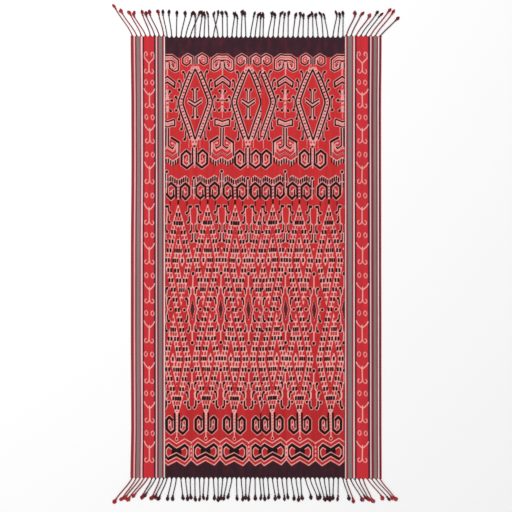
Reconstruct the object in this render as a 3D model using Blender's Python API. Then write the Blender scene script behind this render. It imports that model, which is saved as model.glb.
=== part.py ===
"""A fringed ikat shawl laid out flat: two patterned cotton loom widths and two striped borders.

The four woven widths lie side by side on one flat surface, at z = 0, and are sewn edge to edge. At
both ends the warp is gathered into twisted cords. Each cord ends in a knot and a short brush of
loose yarn. +X runs across the shawl to its right, +Y along it towards its top end, +Z is up.
"""

import math
from collections import namedtuple

import bmesh
import bpy
from mathutils import Vector

# Woven cloth, in metres.
CLOTH_THICKNESS = 0.0015
CLOTH_SWELL = 0.0004
SEAM_GAP = 0.0004
EDGE_STRIP = 0.006
STRIP_GAP = 0.0003
GRID_ROWS = 20
GRID_SPACING = 0.055

# Where the woven widths meet, across the shawl from its middle.
OUTER_LEFT = -0.500
LEFT_SEAM = -0.363
MIDDLE_SEAM = 0.021
RIGHT_SEAM = 0.354
OUTER_RIGHT = 0.501

# The long low waves of the cloth's face.
WAVE_ACROSS = 0.27
WAVE_ALONG = 0.45
WAVE_BEND = 1.9

# One fringe cord, from its gathered root on. Its top is narrower than its flat underside.
CORD_WIDTH = 0.0034
CORD_HEIGHT = 0.0030
TOP_FACE_SHARE = 0.62
ROOT_WIDTH = 0.0120
ROOT_MARGIN = 0.0066
GATHER_LENGTH = 0.0065
CORD_RINGS = 6
TIP_STAGGER = 0.006

# A cord's course is a curve with two handles. They share its reach, and take on a little of its
# lean, and more of it the more the cord slants.
HANDLE_REACH = 0.35
ROOT_HANDLE_LEAN = 0.06
TIP_HANDLE_LEAN = 0.02
SLANT_LEAN = 0.25

# A cord that crosses another is raised over it, up to its knot.
CROSSING_LIFT = 0.0046
LIFT_END = 0.86
LIFT_FULLNESS = 0.6

Panel = namedtuple("Panel", "name left right top bottom top_bunches bottom_bunches")
Bunch = namedtuple("Bunch", "cords lean draw reach")
Drift = namedtuple("Drift", "share left right")
Section = namedtuple("Section", "along width height")
Cord = namedtuple("Cord", "root_x handles lift")

# A cord's knot and brush, by how far each section lies back from the tip.
CORD_TIP = (
    Section(0.0270, CORD_WIDTH, CORD_HEIGHT),
    Section(0.0237, 0.0068, 0.0056),
    Section(0.0180, 0.0046, 0.0036),
    Section(0.0080, 0.0088, 0.0044),
    Section(0.0000, 0.0081, 0.0026),
)

# How far the two outer edges stray from straight, from the top end down, in metres.
EDGE_DRIFT = (
    Drift(0.00, -0.0016, 0.0010),
    Drift(0.17, 0.0012, -0.0012),
    Drift(0.28, 0.0016, -0.0010),
    Drift(0.50, -0.0008, -0.0004),
    Drift(0.66, -0.0010, 0.0002),
    Drift(0.88, 0.0004, 0.0006),
    Drift(1.00, -0.0024, 0.0014),
)

# Cords that lie together, from left to right. lean is how far their tips lie to the right of
# their roots. draw is the spacing of the tips as a share of the roots' spacing, and below zero
# the cords cross. reach is how far the tips lie beyond the cloth's end.
TOP_LEFT_BORDER = (
    Bunch(1, -0.075, 1.0, 0.131),
    Bunch(1, -0.067, 1.0, 0.112),
    Bunch(2, -0.052, 0.70, 0.106),
    Bunch(3, -0.039, 0.79, 0.107),
    Bunch(1, -0.023, 1.0, 0.110),
)
TOP_LEFT_PANEL = (
    Bunch(2, -0.016, 1.3, 0.113),
    Bunch(1, 0.002, 1.0, 0.110),
    Bunch(2, 0.023, 1.4, 0.109),
    Bunch(2, 0.020, -1.0, 0.112),
    Bunch(3, 0.004, 0.62, 0.108),
    Bunch(2, 0.000, -1.2, 0.112),
    Bunch(2, -0.001, 1.0, 0.109),
    Bunch(2, 0.008, 0.60, 0.106),
    Bunch(2, 0.000, 0.60, 0.114),
    Bunch(1, 0.015, 1.0, 0.107),
    Bunch(2, 0.008, 0.60, 0.105),
)
TOP_RIGHT_PANEL = (
    Bunch(1, 0.002, 1.0, 0.104),
    Bunch(2, 0.013, 0.58, 0.108),
    Bunch(3, 0.005, 0.78, 0.109),
    Bunch(1, 0.009, 1.0, 0.102),
    Bunch(2, 0.006, 0.58, 0.106),
    Bunch(1, 0.001, 1.0, 0.100),
    Bunch(2, -0.006, 0.58, 0.107),
    Bunch(2, -0.011, 0.58, 0.106),
    Bunch(3, 0.009, 0.58, 0.109),
)
TOP_RIGHT_BORDER = (
    Bunch(2, 0.041, 1.17, 0.102),
    Bunch(1, 0.059, 1.0, 0.092),
    Bunch(2, 0.066, 0.75, 0.104),
    Bunch(2, 0.078, 0.90, 0.114),
    Bunch(1, 0.076, 1.0, 0.080),
)
BOTTOM_LEFT_BORDER = (
    Bunch(1, -0.075, 1.0, 0.104),
    Bunch(3, -0.064, 0.78, 0.096),
    Bunch(1, -0.061, 1.0, 0.082),
    Bunch(2, -0.044, 0.78, 0.088),
    Bunch(2, -0.034, 0.78, 0.093),
)
BOTTOM_LEFT_PANEL = (
    Bunch(1, -0.034, 1.0, 0.096),
    Bunch(2, -0.017, 1.07, 0.096),
    Bunch(1, 0.008, 1.0, 0.094),
    Bunch(2, 0.005, 0.60, 0.097),
    Bunch(1, 0.001, 1.0, 0.099),
    Bunch(2, -0.001, 0.60, 0.098),
    Bunch(1, -0.005, 1.0, 0.096),
    Bunch(1, 0.005, 1.0, 0.094),
    Bunch(2, -0.003, 0.60, 0.100),
    Bunch(2, -0.015, 0.95, 0.095),
    Bunch(1, 0.002, 1.0, 0.096),
    Bunch(3, 0.000, 0.60, 0.098),
    Bunch(1, 0.001, 1.0, 0.095),
    Bunch(1, 0.007, 1.0, 0.093),
)
BOTTOM_RIGHT_PANEL = (
    Bunch(2, 0.006, 0.95, 0.096),
    Bunch(2, 0.010, 0.70, 0.095),
    Bunch(2, 0.008, 0.62, 0.096),
    Bunch(1, 0.013, 1.0, 0.095),
    Bunch(2, 0.009, 0.60, 0.099),
    Bunch(1, 0.025, 1.0, 0.090),
    Bunch(2, 0.028, 0.60, 0.094),
    Bunch(4, 0.009, 0.58, 0.099),
    Bunch(1, -0.001, 1.0, 0.097),
    Bunch(1, 0.026, 1.0, 0.094),
)
BOTTOM_RIGHT_BORDER = (
    Bunch(1, 0.030, 1.0, 0.101),
    Bunch(3, 0.045, 0.72, 0.094),
    Bunch(1, 0.039, 1.0, 0.101),
    Bunch(1, 0.066, 1.0, 0.086),
    Bunch(3, 0.070, 0.78, 0.091),
)
PANELS = (
    Panel("left_border", OUTER_LEFT, LEFT_SEAM, 0.8840, -0.8820, TOP_LEFT_BORDER, BOTTOM_LEFT_BORDER),
    Panel("left_panel", LEFT_SEAM, MIDDLE_SEAM, 0.8795, -0.8810, TOP_LEFT_PANEL, BOTTOM_LEFT_PANEL),
    Panel("right_panel", MIDDLE_SEAM, RIGHT_SEAM, 0.8795, -0.8815, TOP_RIGHT_PANEL, BOTTOM_RIGHT_PANEL),
    Panel("right_border", RIGHT_SEAM, OUTER_RIGHT, 0.8845, -0.8855, TOP_RIGHT_BORDER, BOTTOM_RIGHT_BORDER),
)

# The parts' own colours.
BORDER_COLOUR = (0.42, 0.060, 0.055, 1.0)
PANEL_COLOUR = (0.50, 0.035, 0.040, 1.0)
BORDER_CORD_COLOUR = (0.33, 0.035, 0.035, 1.0)
PANEL_CORD_COLOUR = (0.030, 0.017, 0.020, 1.0)
COTTON_ROUGHNESS = 0.85


def clear_scene():
    for thing in list(bpy.data.objects):
        bpy.data.objects.remove(thing)


def cotton(name, colour):
    material = bpy.data.materials.new(name)
    material.use_nodes = True
    shader = material.node_tree.nodes["Principled BSDF"]
    shader.inputs["Base Color"].default_value = colour
    shader.inputs["Roughness"].default_value = COTTON_ROUGHNESS
    shader.inputs["Metallic"].default_value = 0.0
    return material


def blend(table, share, column):
    """A column of a table of drifts, read between its rows with a smooth step."""
    for above, below in zip(table, table[1:]):
        if share <= below.share:
            part = (share - above.share) / (below.share - above.share)
            part = part * part * (3 - 2 * part)
            return getattr(above, column) * (1 - part) + getattr(below, column) * part
    return getattr(table[-1], column)


def edges_at(panel, share):
    """The panel's left and right edge at a share of its length from the top."""
    left, right = panel.left + SEAM_GAP / 2, panel.right - SEAM_GAP / 2
    if panel.left == OUTER_LEFT:
        left += blend(EDGE_DRIFT, share, "left") - SEAM_GAP / 2
    if panel.right == OUTER_RIGHT:
        right += blend(EDGE_DRIFT, share, "right") + SEAM_GAP / 2
    return left, right


def swell(x, y):
    """How far the cloth's face rises over its even thickness, in long low waves."""
    across = math.sin(math.tau * x / WAVE_ACROSS + WAVE_BEND * math.sin(math.tau * y / WAVE_ALONG / 3))
    along = math.sin(math.tau * y / WAVE_ALONG + WAVE_BEND * math.sin(math.tau * x / WAVE_ACROSS / 3))
    return CLOTH_SWELL * (2 + across + along) / 4


def new_object(name, bm, material, parent):
    bmesh.ops.recalc_face_normals(bm, faces=bm.faces)
    mesh = bpy.data.meshes.new(name)
    bm.to_mesh(mesh)
    bm.free()
    mesh.materials.append(material)
    thing = bpy.data.objects.new(name, mesh)
    parent.users_collection[0].objects.link(thing)
    thing.parent = parent
    return thing


def woven_panel(panel, material, parent):
    """One woven width: a sheet whose face is a grid with low waves and whose underside is flat."""
    top, bottom = panel.top - EDGE_STRIP - STRIP_GAP, panel.bottom + EDGE_STRIP + STRIP_GAP
    columns = max(2, round((panel.right - panel.left) / GRID_SPACING))
    bm = bmesh.new()
    bmesh.ops.create_grid(bm, x_segments=columns, y_segments=GRID_ROWS, size=0.5)
    lowered = bmesh.ops.extrude_face_region(bm, geom=bm.faces[:])
    under = [part for part in lowered["geom"] if isinstance(part, bmesh.types.BMVert)]
    under_faces = [part for part in lowered["geom"] if isinstance(part, bmesh.types.BMFace)]
    underside = set(under)
    for vertex in bm.verts:
        share = 0.5 - vertex.co.y
        left, right = edges_at(panel, share)
        x = left + (right - left) * (vertex.co.x + 0.5)
        y = top + (bottom - top) * share
        z = 0.0 if vertex in underside else CLOTH_THICKNESS + swell(x, y)
        vertex.co = Vector((x, y, z))
    bmesh.ops.dissolve_faces(bm, faces=under_faces)
    return new_object(panel.name, bm, material, parent)


def roots_of(panel, share, count):
    """The middles of the gathered roots, spaced evenly along one end of a panel."""
    left, right = edges_at(panel, share)
    first, last = left + ROOT_MARGIN, right - ROOT_MARGIN
    return [first + (last - first) * i / (count - 1) for i in range(count)]


def cord_sections(length):
    """Width and height of a cord at its rings, by distance along it."""
    step = (length - CORD_TIP[0].along - GATHER_LENGTH) / CORD_RINGS
    plain = [Section(GATHER_LENGTH + step * i, CORD_WIDTH, CORD_HEIGHT) for i in range(CORD_RINGS)]
    return plain + [section._replace(along=length - section.along) for section in CORD_TIP]


def cord_curve(root, tip, outward):
    """The four handles of a cord's course on the floor: it leaves its end squarely, then leans."""
    lean = tip.x - root.x
    reach = abs(tip.y - root.y)
    slant = min(1.0, abs(lean) / reach)
    ahead = outward * reach * HANDLE_REACH
    first = Vector((lean * (ROOT_HANDLE_LEAN + SLANT_LEAN * slant), ahead, 0))
    second = Vector((lean * (TIP_HANDLE_LEAN + SLANT_LEAN * slant), ahead, 0))
    return root, root + first, tip - second, tip


def on_curve(handles, t):
    """A point of a cubic curve and its direction there."""
    a, b, c, d = handles
    s = 1 - t
    point = a * s**3 + b * 3 * s * s * t + c * 3 * s * t * t + d * t**3
    slope = (b - a) * 3 * s * s + (c - b) * 6 * s * t + (d - c) * 3 * t * t
    return point, slope.normalized()


def curve_length(handles, steps=24):
    points = [on_curve(handles, i / steps)[0] for i in range(steps + 1)]
    return sum((b - a).length for a, b in zip(points, points[1:]))


def draw_cord(bm, root_face, handles, lift):
    """Draws a cord out of its root face, ring by ring. lift raises its middle over a neighbour."""
    length = curve_length(handles)
    centre, across = root_face.calc_center_median(), Vector((1, 0, 0))
    face = root_face
    for section in cord_sections(length):
        t = section.along / length
        point, slope = on_curve(handles, t)
        raised = lift * max(0.0, math.sin(math.pi * min(1.0, t / LIFT_END))) ** LIFT_FULLNESS
        turned = Vector((slope.y, -slope.x, 0))
        if turned.dot(across) < 0:
            turned.negate()
        face = bmesh.ops.extrude_discrete_faces(bm, faces=[face])["faces"][0]
        for vertex in face.verts:
            side = 1 if (vertex.co - centre).dot(across) > 0 else -1
            above = vertex.co.z > centre.z
            half = section.width / 2 * (TOP_FACE_SHARE if above else 1.0)
            vertex.co = point + turned * (side * half)
            vertex.co.z = raised + (section.height if above else 0.0)
        centre, across = face.calc_center_median(), turned


def cords_of(panel, end):
    """The cords of one end of a panel: where each is rooted, its course and how far it is raised."""
    at_top = end == "top"
    bunches = panel.top_bunches if at_top else panel.bottom_bunches
    outward = 1 if at_top else -1
    edge = panel.top if at_top else panel.bottom
    roots = roots_of(panel, 0.0 if at_top else 1.0, sum(bunch.cords for bunch in bunches))
    cords = []
    for bunch in bunches:
        members = roots[len(cords) : len(cords) + bunch.cords]
        middle = sum(members) / bunch.cords
        for i, x in enumerate(members):
            tip_x = middle + bunch.lean + bunch.draw * (x - middle)
            stagger = TIP_STAGGER * (i % 2) if bunch.draw < 1 else 0.0
            root = Vector((x, edge, 0))
            tip = Vector((tip_x, edge + outward * (bunch.reach - stagger), 0))
            lift = CROSSING_LIFT if bunch.draw < 0 and i % 2 else 0.0
            cords.append(Cord(x, cord_curve(root, tip, outward), lift))
    return cords


def edge_strip(panel, end):
    """The last few millimetres of a panel's cloth, with a face in its outer side for each root."""
    outward = 1 if end == "top" else -1
    edge = panel.top if end == "top" else panel.bottom
    left, right = edges_at(panel, 0.0 if end == "top" else 1.0)
    bm = bmesh.new()
    bmesh.ops.create_cube(bm, size=1.0)
    for vertex in bm.verts:
        vertex.co.x = left if vertex.co.x < 0 else right
        vertex.co.y = edge - outward * EDGE_STRIP * (0.5 - outward * vertex.co.y)
        vertex.co.z = 0.0 if vertex.co.z < 0 else CLOTH_THICKNESS
    return bm


def fringe(panel, end, material, parent):
    """The cords of one end of a panel, drawn out of the last few millimetres of its cloth."""
    outward = 1 if end == "top" else -1
    cords = cords_of(panel, end)
    bm = edge_strip(panel, end)
    for cord in cords:
        for side in (-0.5, 0.5):
            plane = (cord.root_x + side * ROOT_WIDTH, 0, 0)
            everything = bm.verts[:] + bm.edges[:] + bm.faces[:]
            bmesh.ops.bisect_plane(bm, geom=everything, plane_co=plane, plane_no=(1, 0, 0))
    bm.normal_update()
    front = [face for face in bm.faces if face.normal.y * outward > 0.9]
    for cord in cords:
        root_face = min(front, key=lambda face: abs(face.calc_center_median().x - cord.root_x))
        front.remove(root_face)
        draw_cord(bm, root_face, cord.handles, cord.lift)
    return new_object(f"{panel.name}_{end}_fringe", bm, material, parent)


def centre_on_floor(parent, parts):
    """Moves the whole shawl so that its box stands centred over the origin."""
    corners = [vertex.co for part in parts for vertex in part.data.vertices]
    across = [corner.x for corner in corners]
    along = [corner.y for corner in corners]
    parent.location = (-(min(across) + max(across)) / 2, -(min(along) + max(along)) / 2, 0)


def main():
    clear_scene()
    collection = bpy.data.collections.new("ikat_shawl")
    bpy.context.scene.collection.children.link(collection)
    parent = bpy.data.objects.new("shawl", None)
    collection.objects.link(parent)
    border_cloth = cotton("border_cloth", BORDER_COLOUR)
    panel_cloth = cotton("panel_cloth", PANEL_COLOUR)
    border_cord = cotton("border_cord", BORDER_CORD_COLOUR)
    panel_cord = cotton("panel_cord", PANEL_CORD_COLOUR)
    parts = []
    for panel in PANELS:
        is_border = panel.name.endswith("border")
        parts.append(woven_panel(panel, border_cloth if is_border else panel_cloth, parent))
        for end in ("top", "bottom"):
            parts.append(fringe(panel, end, border_cord if is_border else panel_cord, parent))
    centre_on_floor(parent, parts)


main()
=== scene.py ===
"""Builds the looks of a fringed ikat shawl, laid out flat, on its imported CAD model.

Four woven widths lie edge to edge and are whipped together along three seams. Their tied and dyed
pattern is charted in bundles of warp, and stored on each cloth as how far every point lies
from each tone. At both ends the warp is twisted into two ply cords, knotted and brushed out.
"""

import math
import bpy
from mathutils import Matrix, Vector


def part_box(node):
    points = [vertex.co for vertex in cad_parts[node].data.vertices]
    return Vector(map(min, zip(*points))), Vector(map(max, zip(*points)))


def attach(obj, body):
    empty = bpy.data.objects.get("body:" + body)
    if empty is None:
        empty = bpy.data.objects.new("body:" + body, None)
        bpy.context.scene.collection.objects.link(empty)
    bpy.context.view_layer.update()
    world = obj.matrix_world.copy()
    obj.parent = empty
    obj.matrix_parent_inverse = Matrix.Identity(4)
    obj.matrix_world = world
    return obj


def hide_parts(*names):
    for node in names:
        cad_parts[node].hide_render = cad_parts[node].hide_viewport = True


bl_info = {
    "name": "Fringed Ikat Shawl",
    "version": (1, 0, 0),
    "blender": (4, 5, 0),
    "location": "3D View > Sidebar > Ikat Shawl",
    "description": "Weaves the cloth, cords and seams of a fringed ikat shawl round its CAD model",
    "category": "Add Mesh",
}

from collections import namedtuple

import bpy
import numpy as np
from bpy.props import FloatProperty, FloatVectorProperty, IntProperty, PointerProperty
from mathutils import Vector

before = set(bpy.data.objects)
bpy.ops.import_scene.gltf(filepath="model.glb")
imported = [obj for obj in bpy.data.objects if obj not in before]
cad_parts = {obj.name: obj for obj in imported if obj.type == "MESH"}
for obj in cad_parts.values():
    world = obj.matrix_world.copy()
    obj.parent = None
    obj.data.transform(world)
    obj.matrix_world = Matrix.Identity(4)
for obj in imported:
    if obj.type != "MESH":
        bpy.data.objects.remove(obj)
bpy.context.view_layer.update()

# Where the woven widths meet, across the shawl from its middle, in metres.
OUTER_LEFT = -0.500
LEFT_SEAM = -0.363
MIDDLE_SEAM = 0.021
RIGHT_SEAM = 0.354
OUTER_RIGHT = 0.501
SEAM_GAP = 0.0004
EDGE_STRIP = 0.0063

# The cloth's thickness, and the long low waves of its face.
CLOTH_THICKNESS = 0.0015
CLOTH_SWELL = 0.0004
WAVE_ACROSS = 0.27
WAVE_ALONG = 0.45
WAVE_BEND = 1.9

# How far the cloth's rim is rounded above and below, how far its ends are drawn in and puckered
# by the cords, and how soon each of these fades into the cloth.
EDGE_ROUNDING = 0.0005
ROUNDING_FADE = 0.0012
UNDER_ROUNDING = 0.0002
UNDER_FADE = 0.002
END_PULL = 0.0011
END_PUCKER = 0.0005
END_FADE = 0.006

# The bake map of a cloth: its face on the left half, its underside on the right half, and the
# four walls of its rim as narrow strips between them.
HALF_WIDE = 0.48
FACE_LEFT = 0.005
UNDER_LEFT = 0.515
WALLS_LEFT = 0.489
WALL_STEP = 0.006
WALL_WIDE = 0.003

# A fringe cord and its course, from its gathered root to its tip.
CORD_RADIUS = 0.0021
ROOT_MARGIN = 0.0066
TIP_STAGGER = 0.006
HANDLE_REACH = 0.35
ROOT_HANDLE_LEAN = 0.06
TIP_HANDLE_LEAN = 0.02
SLANT_LEAN = 0.25
CROSSING_LIFT = 0.0046
LIFT_END = 0.86
LIFT_FULLNESS = 0.6

# The warp ends that gather into a cord, and where its plies begin.
ROOT_YARNS = 9
ROOT_LENGTH = 0.0105
ROOT_INSET = 0.0012
ROOT_SPREAD = 0.47
ROOT_WAIST = 0.0011
ROOT_LEVEL = 0.0010
ROOT_RISE = 0.0011
ROOT_GATHER = 2.2
ROOT_OVERLAP = 0.0002
ROOT_STEPS = (0.0, 0.3, 0.6, 1.0)
ROOT_RADII = (0.00050, 0.00068, 0.00070, 0.00055)
PLY_START = 0.0045
PLY_SIDES = 5

# A twisted ply looks this much deeper in colour than its loose ends. Cords with red in them, and
# their tufts, are a little thicker than the dark ones.
PLY_DEPTH = 0.72
RED_CORD_SIZE = 1.18
RED_TUFT_SIZE = 1.25

# The knot near a cord's tip: a yarn in three loops round a core.
KNOT_FROM_TIP = 0.0235
KNOT_STEPS = 30
KNOT_RISE = 0.0011
KNOT_RADIUS = 0.0021
KNOT_LOOP = 0.0009
KNOT_FLATNESS = 0.62
KNOT_REACH = 0.0018
KNOT_YARN = 0.00112
CORE_PLACES = (-0.0040, -0.0018, 0.0018, 0.0040)
CORE_RADII = (0.0013, 0.0020, 0.0020, 0.0013)

# The tuft beyond the knot: where along a yarn its rings lie, and their radii.
TUFT_INSET = 0.0015
TUFT_FLOOR, TUFT_HIGH = 0.0007, 0.0044
TUFT_BOW = 0.0008
TUFT_STEPS = (0.0, 0.22, 0.48, 0.76, 1.0)
TUFT_RADII = (0.00055, 0.00072, 0.00074, 0.00066, 0.00030)

# How tufts differ: how often those at the top part in two locks and how far, how far each may
# lean, and how full they are at the two ends.
PARTED_SHARE = 0.4
PARTING = (0.08, 0.22)
TOP_TUFT_LEAN, BOTTOM_TUFT_LEAN = 0.42, 0.2
TOP_FULLNESS, BOTTOM_FULLNESS = 0.84, 1.06

# The whipped seams: half their length, and how a stitch lies over the two edges.
SEAM_REACH = 0.876
STITCH_STEPS = (-1.0, -0.55, 0.0, 0.55, 1.0)
STITCH_WANDER = 0.0006
STITCH_SLANT = 0.9
STITCH_CLEAR = 0.0001
STITCH_HIGH = 0.0004
STITCH_DIP = 0.0006

# Edges sharper than these stay sharp, in degrees.
CLOTH_SHARP = 50
YARN_SHARP = 75

Panel = namedtuple("Panel", "name left right top bottom top_bunches bottom_bunches top_dye bottom_dye")
Bunch = namedtuple("Bunch", "cords lean draw reach")
Drift = namedtuple("Drift", "share left right")
Cord = namedtuple("Cord", "root_x handles lift dye")

# How far the two outer edges stray from straight, from the top end down, in metres.
EDGE_DRIFT = (
    Drift(0.00, -0.0016, 0.0010),
    Drift(0.17, 0.0012, -0.0012),
    Drift(0.28, 0.0016, -0.0010),
    Drift(0.50, -0.0008, -0.0004),
    Drift(0.66, -0.0010, 0.0002),
    Drift(0.88, 0.0004, 0.0006),
    Drift(1.00, -0.0024, 0.0014),
)

# Cords that lie together, from left to right: their number, how far their tips lie to the right
# of their roots, the spacing of the tips as a share of the roots', and their reach.
TOP_LEFT_BORDER = (
    Bunch(1, -0.075, 1.0, 0.131),
    Bunch(1, -0.067, 1.0, 0.112),
    Bunch(2, -0.052, 0.70, 0.106),
    Bunch(3, -0.039, 0.79, 0.107),
    Bunch(1, -0.023, 1.0, 0.110),
)
TOP_LEFT_PANEL = (
    Bunch(2, -0.016, 1.3, 0.113),
    Bunch(1, 0.002, 1.0, 0.110),
    Bunch(2, 0.023, 1.4, 0.109),
    Bunch(2, 0.020, -1.0, 0.112),
    Bunch(3, 0.004, 0.62, 0.108),
    Bunch(2, 0.000, -1.2, 0.112),
    Bunch(2, -0.001, 1.0, 0.109),
    Bunch(2, 0.008, 0.60, 0.106),
    Bunch(2, 0.000, 0.60, 0.114),
    Bunch(1, 0.015, 1.0, 0.107),
    Bunch(2, 0.008, 0.60, 0.105),
)
TOP_RIGHT_PANEL = (
    Bunch(1, 0.002, 1.0, 0.104),
    Bunch(2, 0.013, 0.58, 0.108),
    Bunch(3, 0.005, 0.78, 0.109),
    Bunch(1, 0.009, 1.0, 0.102),
    Bunch(2, 0.006, 0.58, 0.106),
    Bunch(1, 0.001, 1.0, 0.100),
    Bunch(2, -0.006, 0.58, 0.107),
    Bunch(2, -0.011, 0.58, 0.106),
    Bunch(3, 0.009, 0.58, 0.109),
)
TOP_RIGHT_BORDER = (
    Bunch(2, 0.041, 1.17, 0.102),
    Bunch(1, 0.059, 1.0, 0.092),
    Bunch(2, 0.066, 0.75, 0.104),
    Bunch(2, 0.078, 0.90, 0.114),
    Bunch(1, 0.076, 1.0, 0.080),
)
BOTTOM_LEFT_BORDER = (
    Bunch(1, -0.075, 1.0, 0.104),
    Bunch(3, -0.064, 0.78, 0.096),
    Bunch(1, -0.061, 1.0, 0.082),
    Bunch(2, -0.044, 0.78, 0.088),
    Bunch(2, -0.034, 0.78, 0.093),
)
BOTTOM_LEFT_PANEL = (
    Bunch(1, -0.034, 1.0, 0.096),
    Bunch(2, -0.017, 1.07, 0.096),
    Bunch(1, 0.008, 1.0, 0.094),
    Bunch(2, 0.005, 0.60, 0.097),
    Bunch(1, 0.001, 1.0, 0.099),
    Bunch(2, -0.001, 0.60, 0.098),
    Bunch(1, -0.005, 1.0, 0.096),
    Bunch(1, 0.005, 1.0, 0.094),
    Bunch(2, -0.003, 0.60, 0.100),
    Bunch(2, -0.015, 0.95, 0.095),
    Bunch(1, 0.002, 1.0, 0.096),
    Bunch(3, 0.000, 0.60, 0.098),
    Bunch(1, 0.001, 1.0, 0.095),
    Bunch(1, 0.007, 1.0, 0.093),
)
BOTTOM_RIGHT_PANEL = (
    Bunch(2, 0.006, 0.95, 0.096),
    Bunch(2, 0.010, 0.70, 0.095),
    Bunch(2, 0.008, 0.62, 0.096),
    Bunch(1, 0.013, 1.0, 0.095),
    Bunch(2, 0.009, 0.60, 0.099),
    Bunch(1, 0.025, 1.0, 0.090),
    Bunch(2, 0.028, 0.60, 0.094),
    Bunch(4, 0.009, 0.58, 0.099),
    Bunch(1, -0.001, 1.0, 0.097),
    Bunch(1, 0.026, 1.0, 0.094),
)
BOTTOM_RIGHT_BORDER = (
    Bunch(1, 0.030, 1.0, 0.101),
    Bunch(3, 0.045, 0.72, 0.094),
    Bunch(1, 0.039, 1.0, 0.101),
    Bunch(1, 0.066, 1.0, 0.086),
    Bunch(3, 0.070, 0.78, 0.091),
)

# The woven widths: their edges across, their ends along, their cords at both ends, and how each
# cord was dyed, from left to right: r red, d dark, m one red ply and one dark ply.
LEFT_PANEL = Panel(
    "left_panel", LEFT_SEAM, MIDDLE_SEAM, 0.8795, -0.8810,
    TOP_LEFT_PANEL, BOTTOM_LEFT_PANEL, "d" * 21, "d" * 21,
)
RIGHT_PANEL = Panel(
    "right_panel", MIDDLE_SEAM, RIGHT_SEAM, 0.8795, -0.8815,
    TOP_RIGHT_PANEL, BOTTOM_RIGHT_PANEL, "d" * 17, "d" * 18,
)
LEFT_BORDER = Panel(
    "left_border", OUTER_LEFT, LEFT_SEAM, 0.8840, -0.8820,
    TOP_LEFT_BORDER, BOTTOM_LEFT_BORDER, "rrrrmmmm", "rrrrrmdmd",
)
RIGHT_BORDER = Panel(
    "right_border", RIGHT_SEAM, OUTER_RIGHT, 0.8845, -0.8855,
    TOP_RIGHT_BORDER, BOTTOM_RIGHT_BORDER, "mmrddrrm", "mmdmrrdrr",
)
PANELS = (LEFT_BORDER, LEFT_PANEL, RIGHT_PANEL, RIGHT_BORDER)

# The whole shawl stands a little off its own middle, as its CAD nodes do.
SHIFT_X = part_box("left_panel")[0].x - (LEFT_SEAM + SEAM_GAP / 2)
SHIFT_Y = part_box("left_panel")[1].y - (LEFT_PANEL.top - EDGE_STRIP)

# The chart's unit is one tied bundle of warp. Its columns and rows are counted from its corner.
BUNDLE = 0.004
CHART_MIDDLE = 256.05
CHART_WAIST = 257.2

# The rows on which the figures of the patterned widths stand, from the top end down, and the
# spacing of the bows beyond a cloth's edges.
BAND_START = 30.0
BAND_FOOT = 57.2
ARCH_ROW = 55.0
RHOMB_ROW = 69.0
SPIRAL_ROW = 198.0
LATTICE_ROW = 204.0
LOW_SPIRAL_ROW = 415.3
BOW_ROW = 442.1
OUTER_SPACING = 29.0

# The tones of the tied and dyed warp. What no tone covers stays the red ground.
PALE, INK, DARK, RED = 0, 1, 2, None

# A distance that counts as far from a tone, and the usual widths of rims, lines, heads and
# dashes, all in bundles.
CHART_FAR = 2.0
RIM = 0.7
INK_LINE = 1.6
HEAD = 1.4
DASH_WIDE, DASH_TALL = 1.98, 4.15
RED_DASH_WIDE, RED_DASH_TALL = 1.8, 3.5
PAIR_STEP, GROUP_STEP = 2.85, 2.4
CLOSE_STEP, CLOSE_WIDE = 2.1, 1.55


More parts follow.
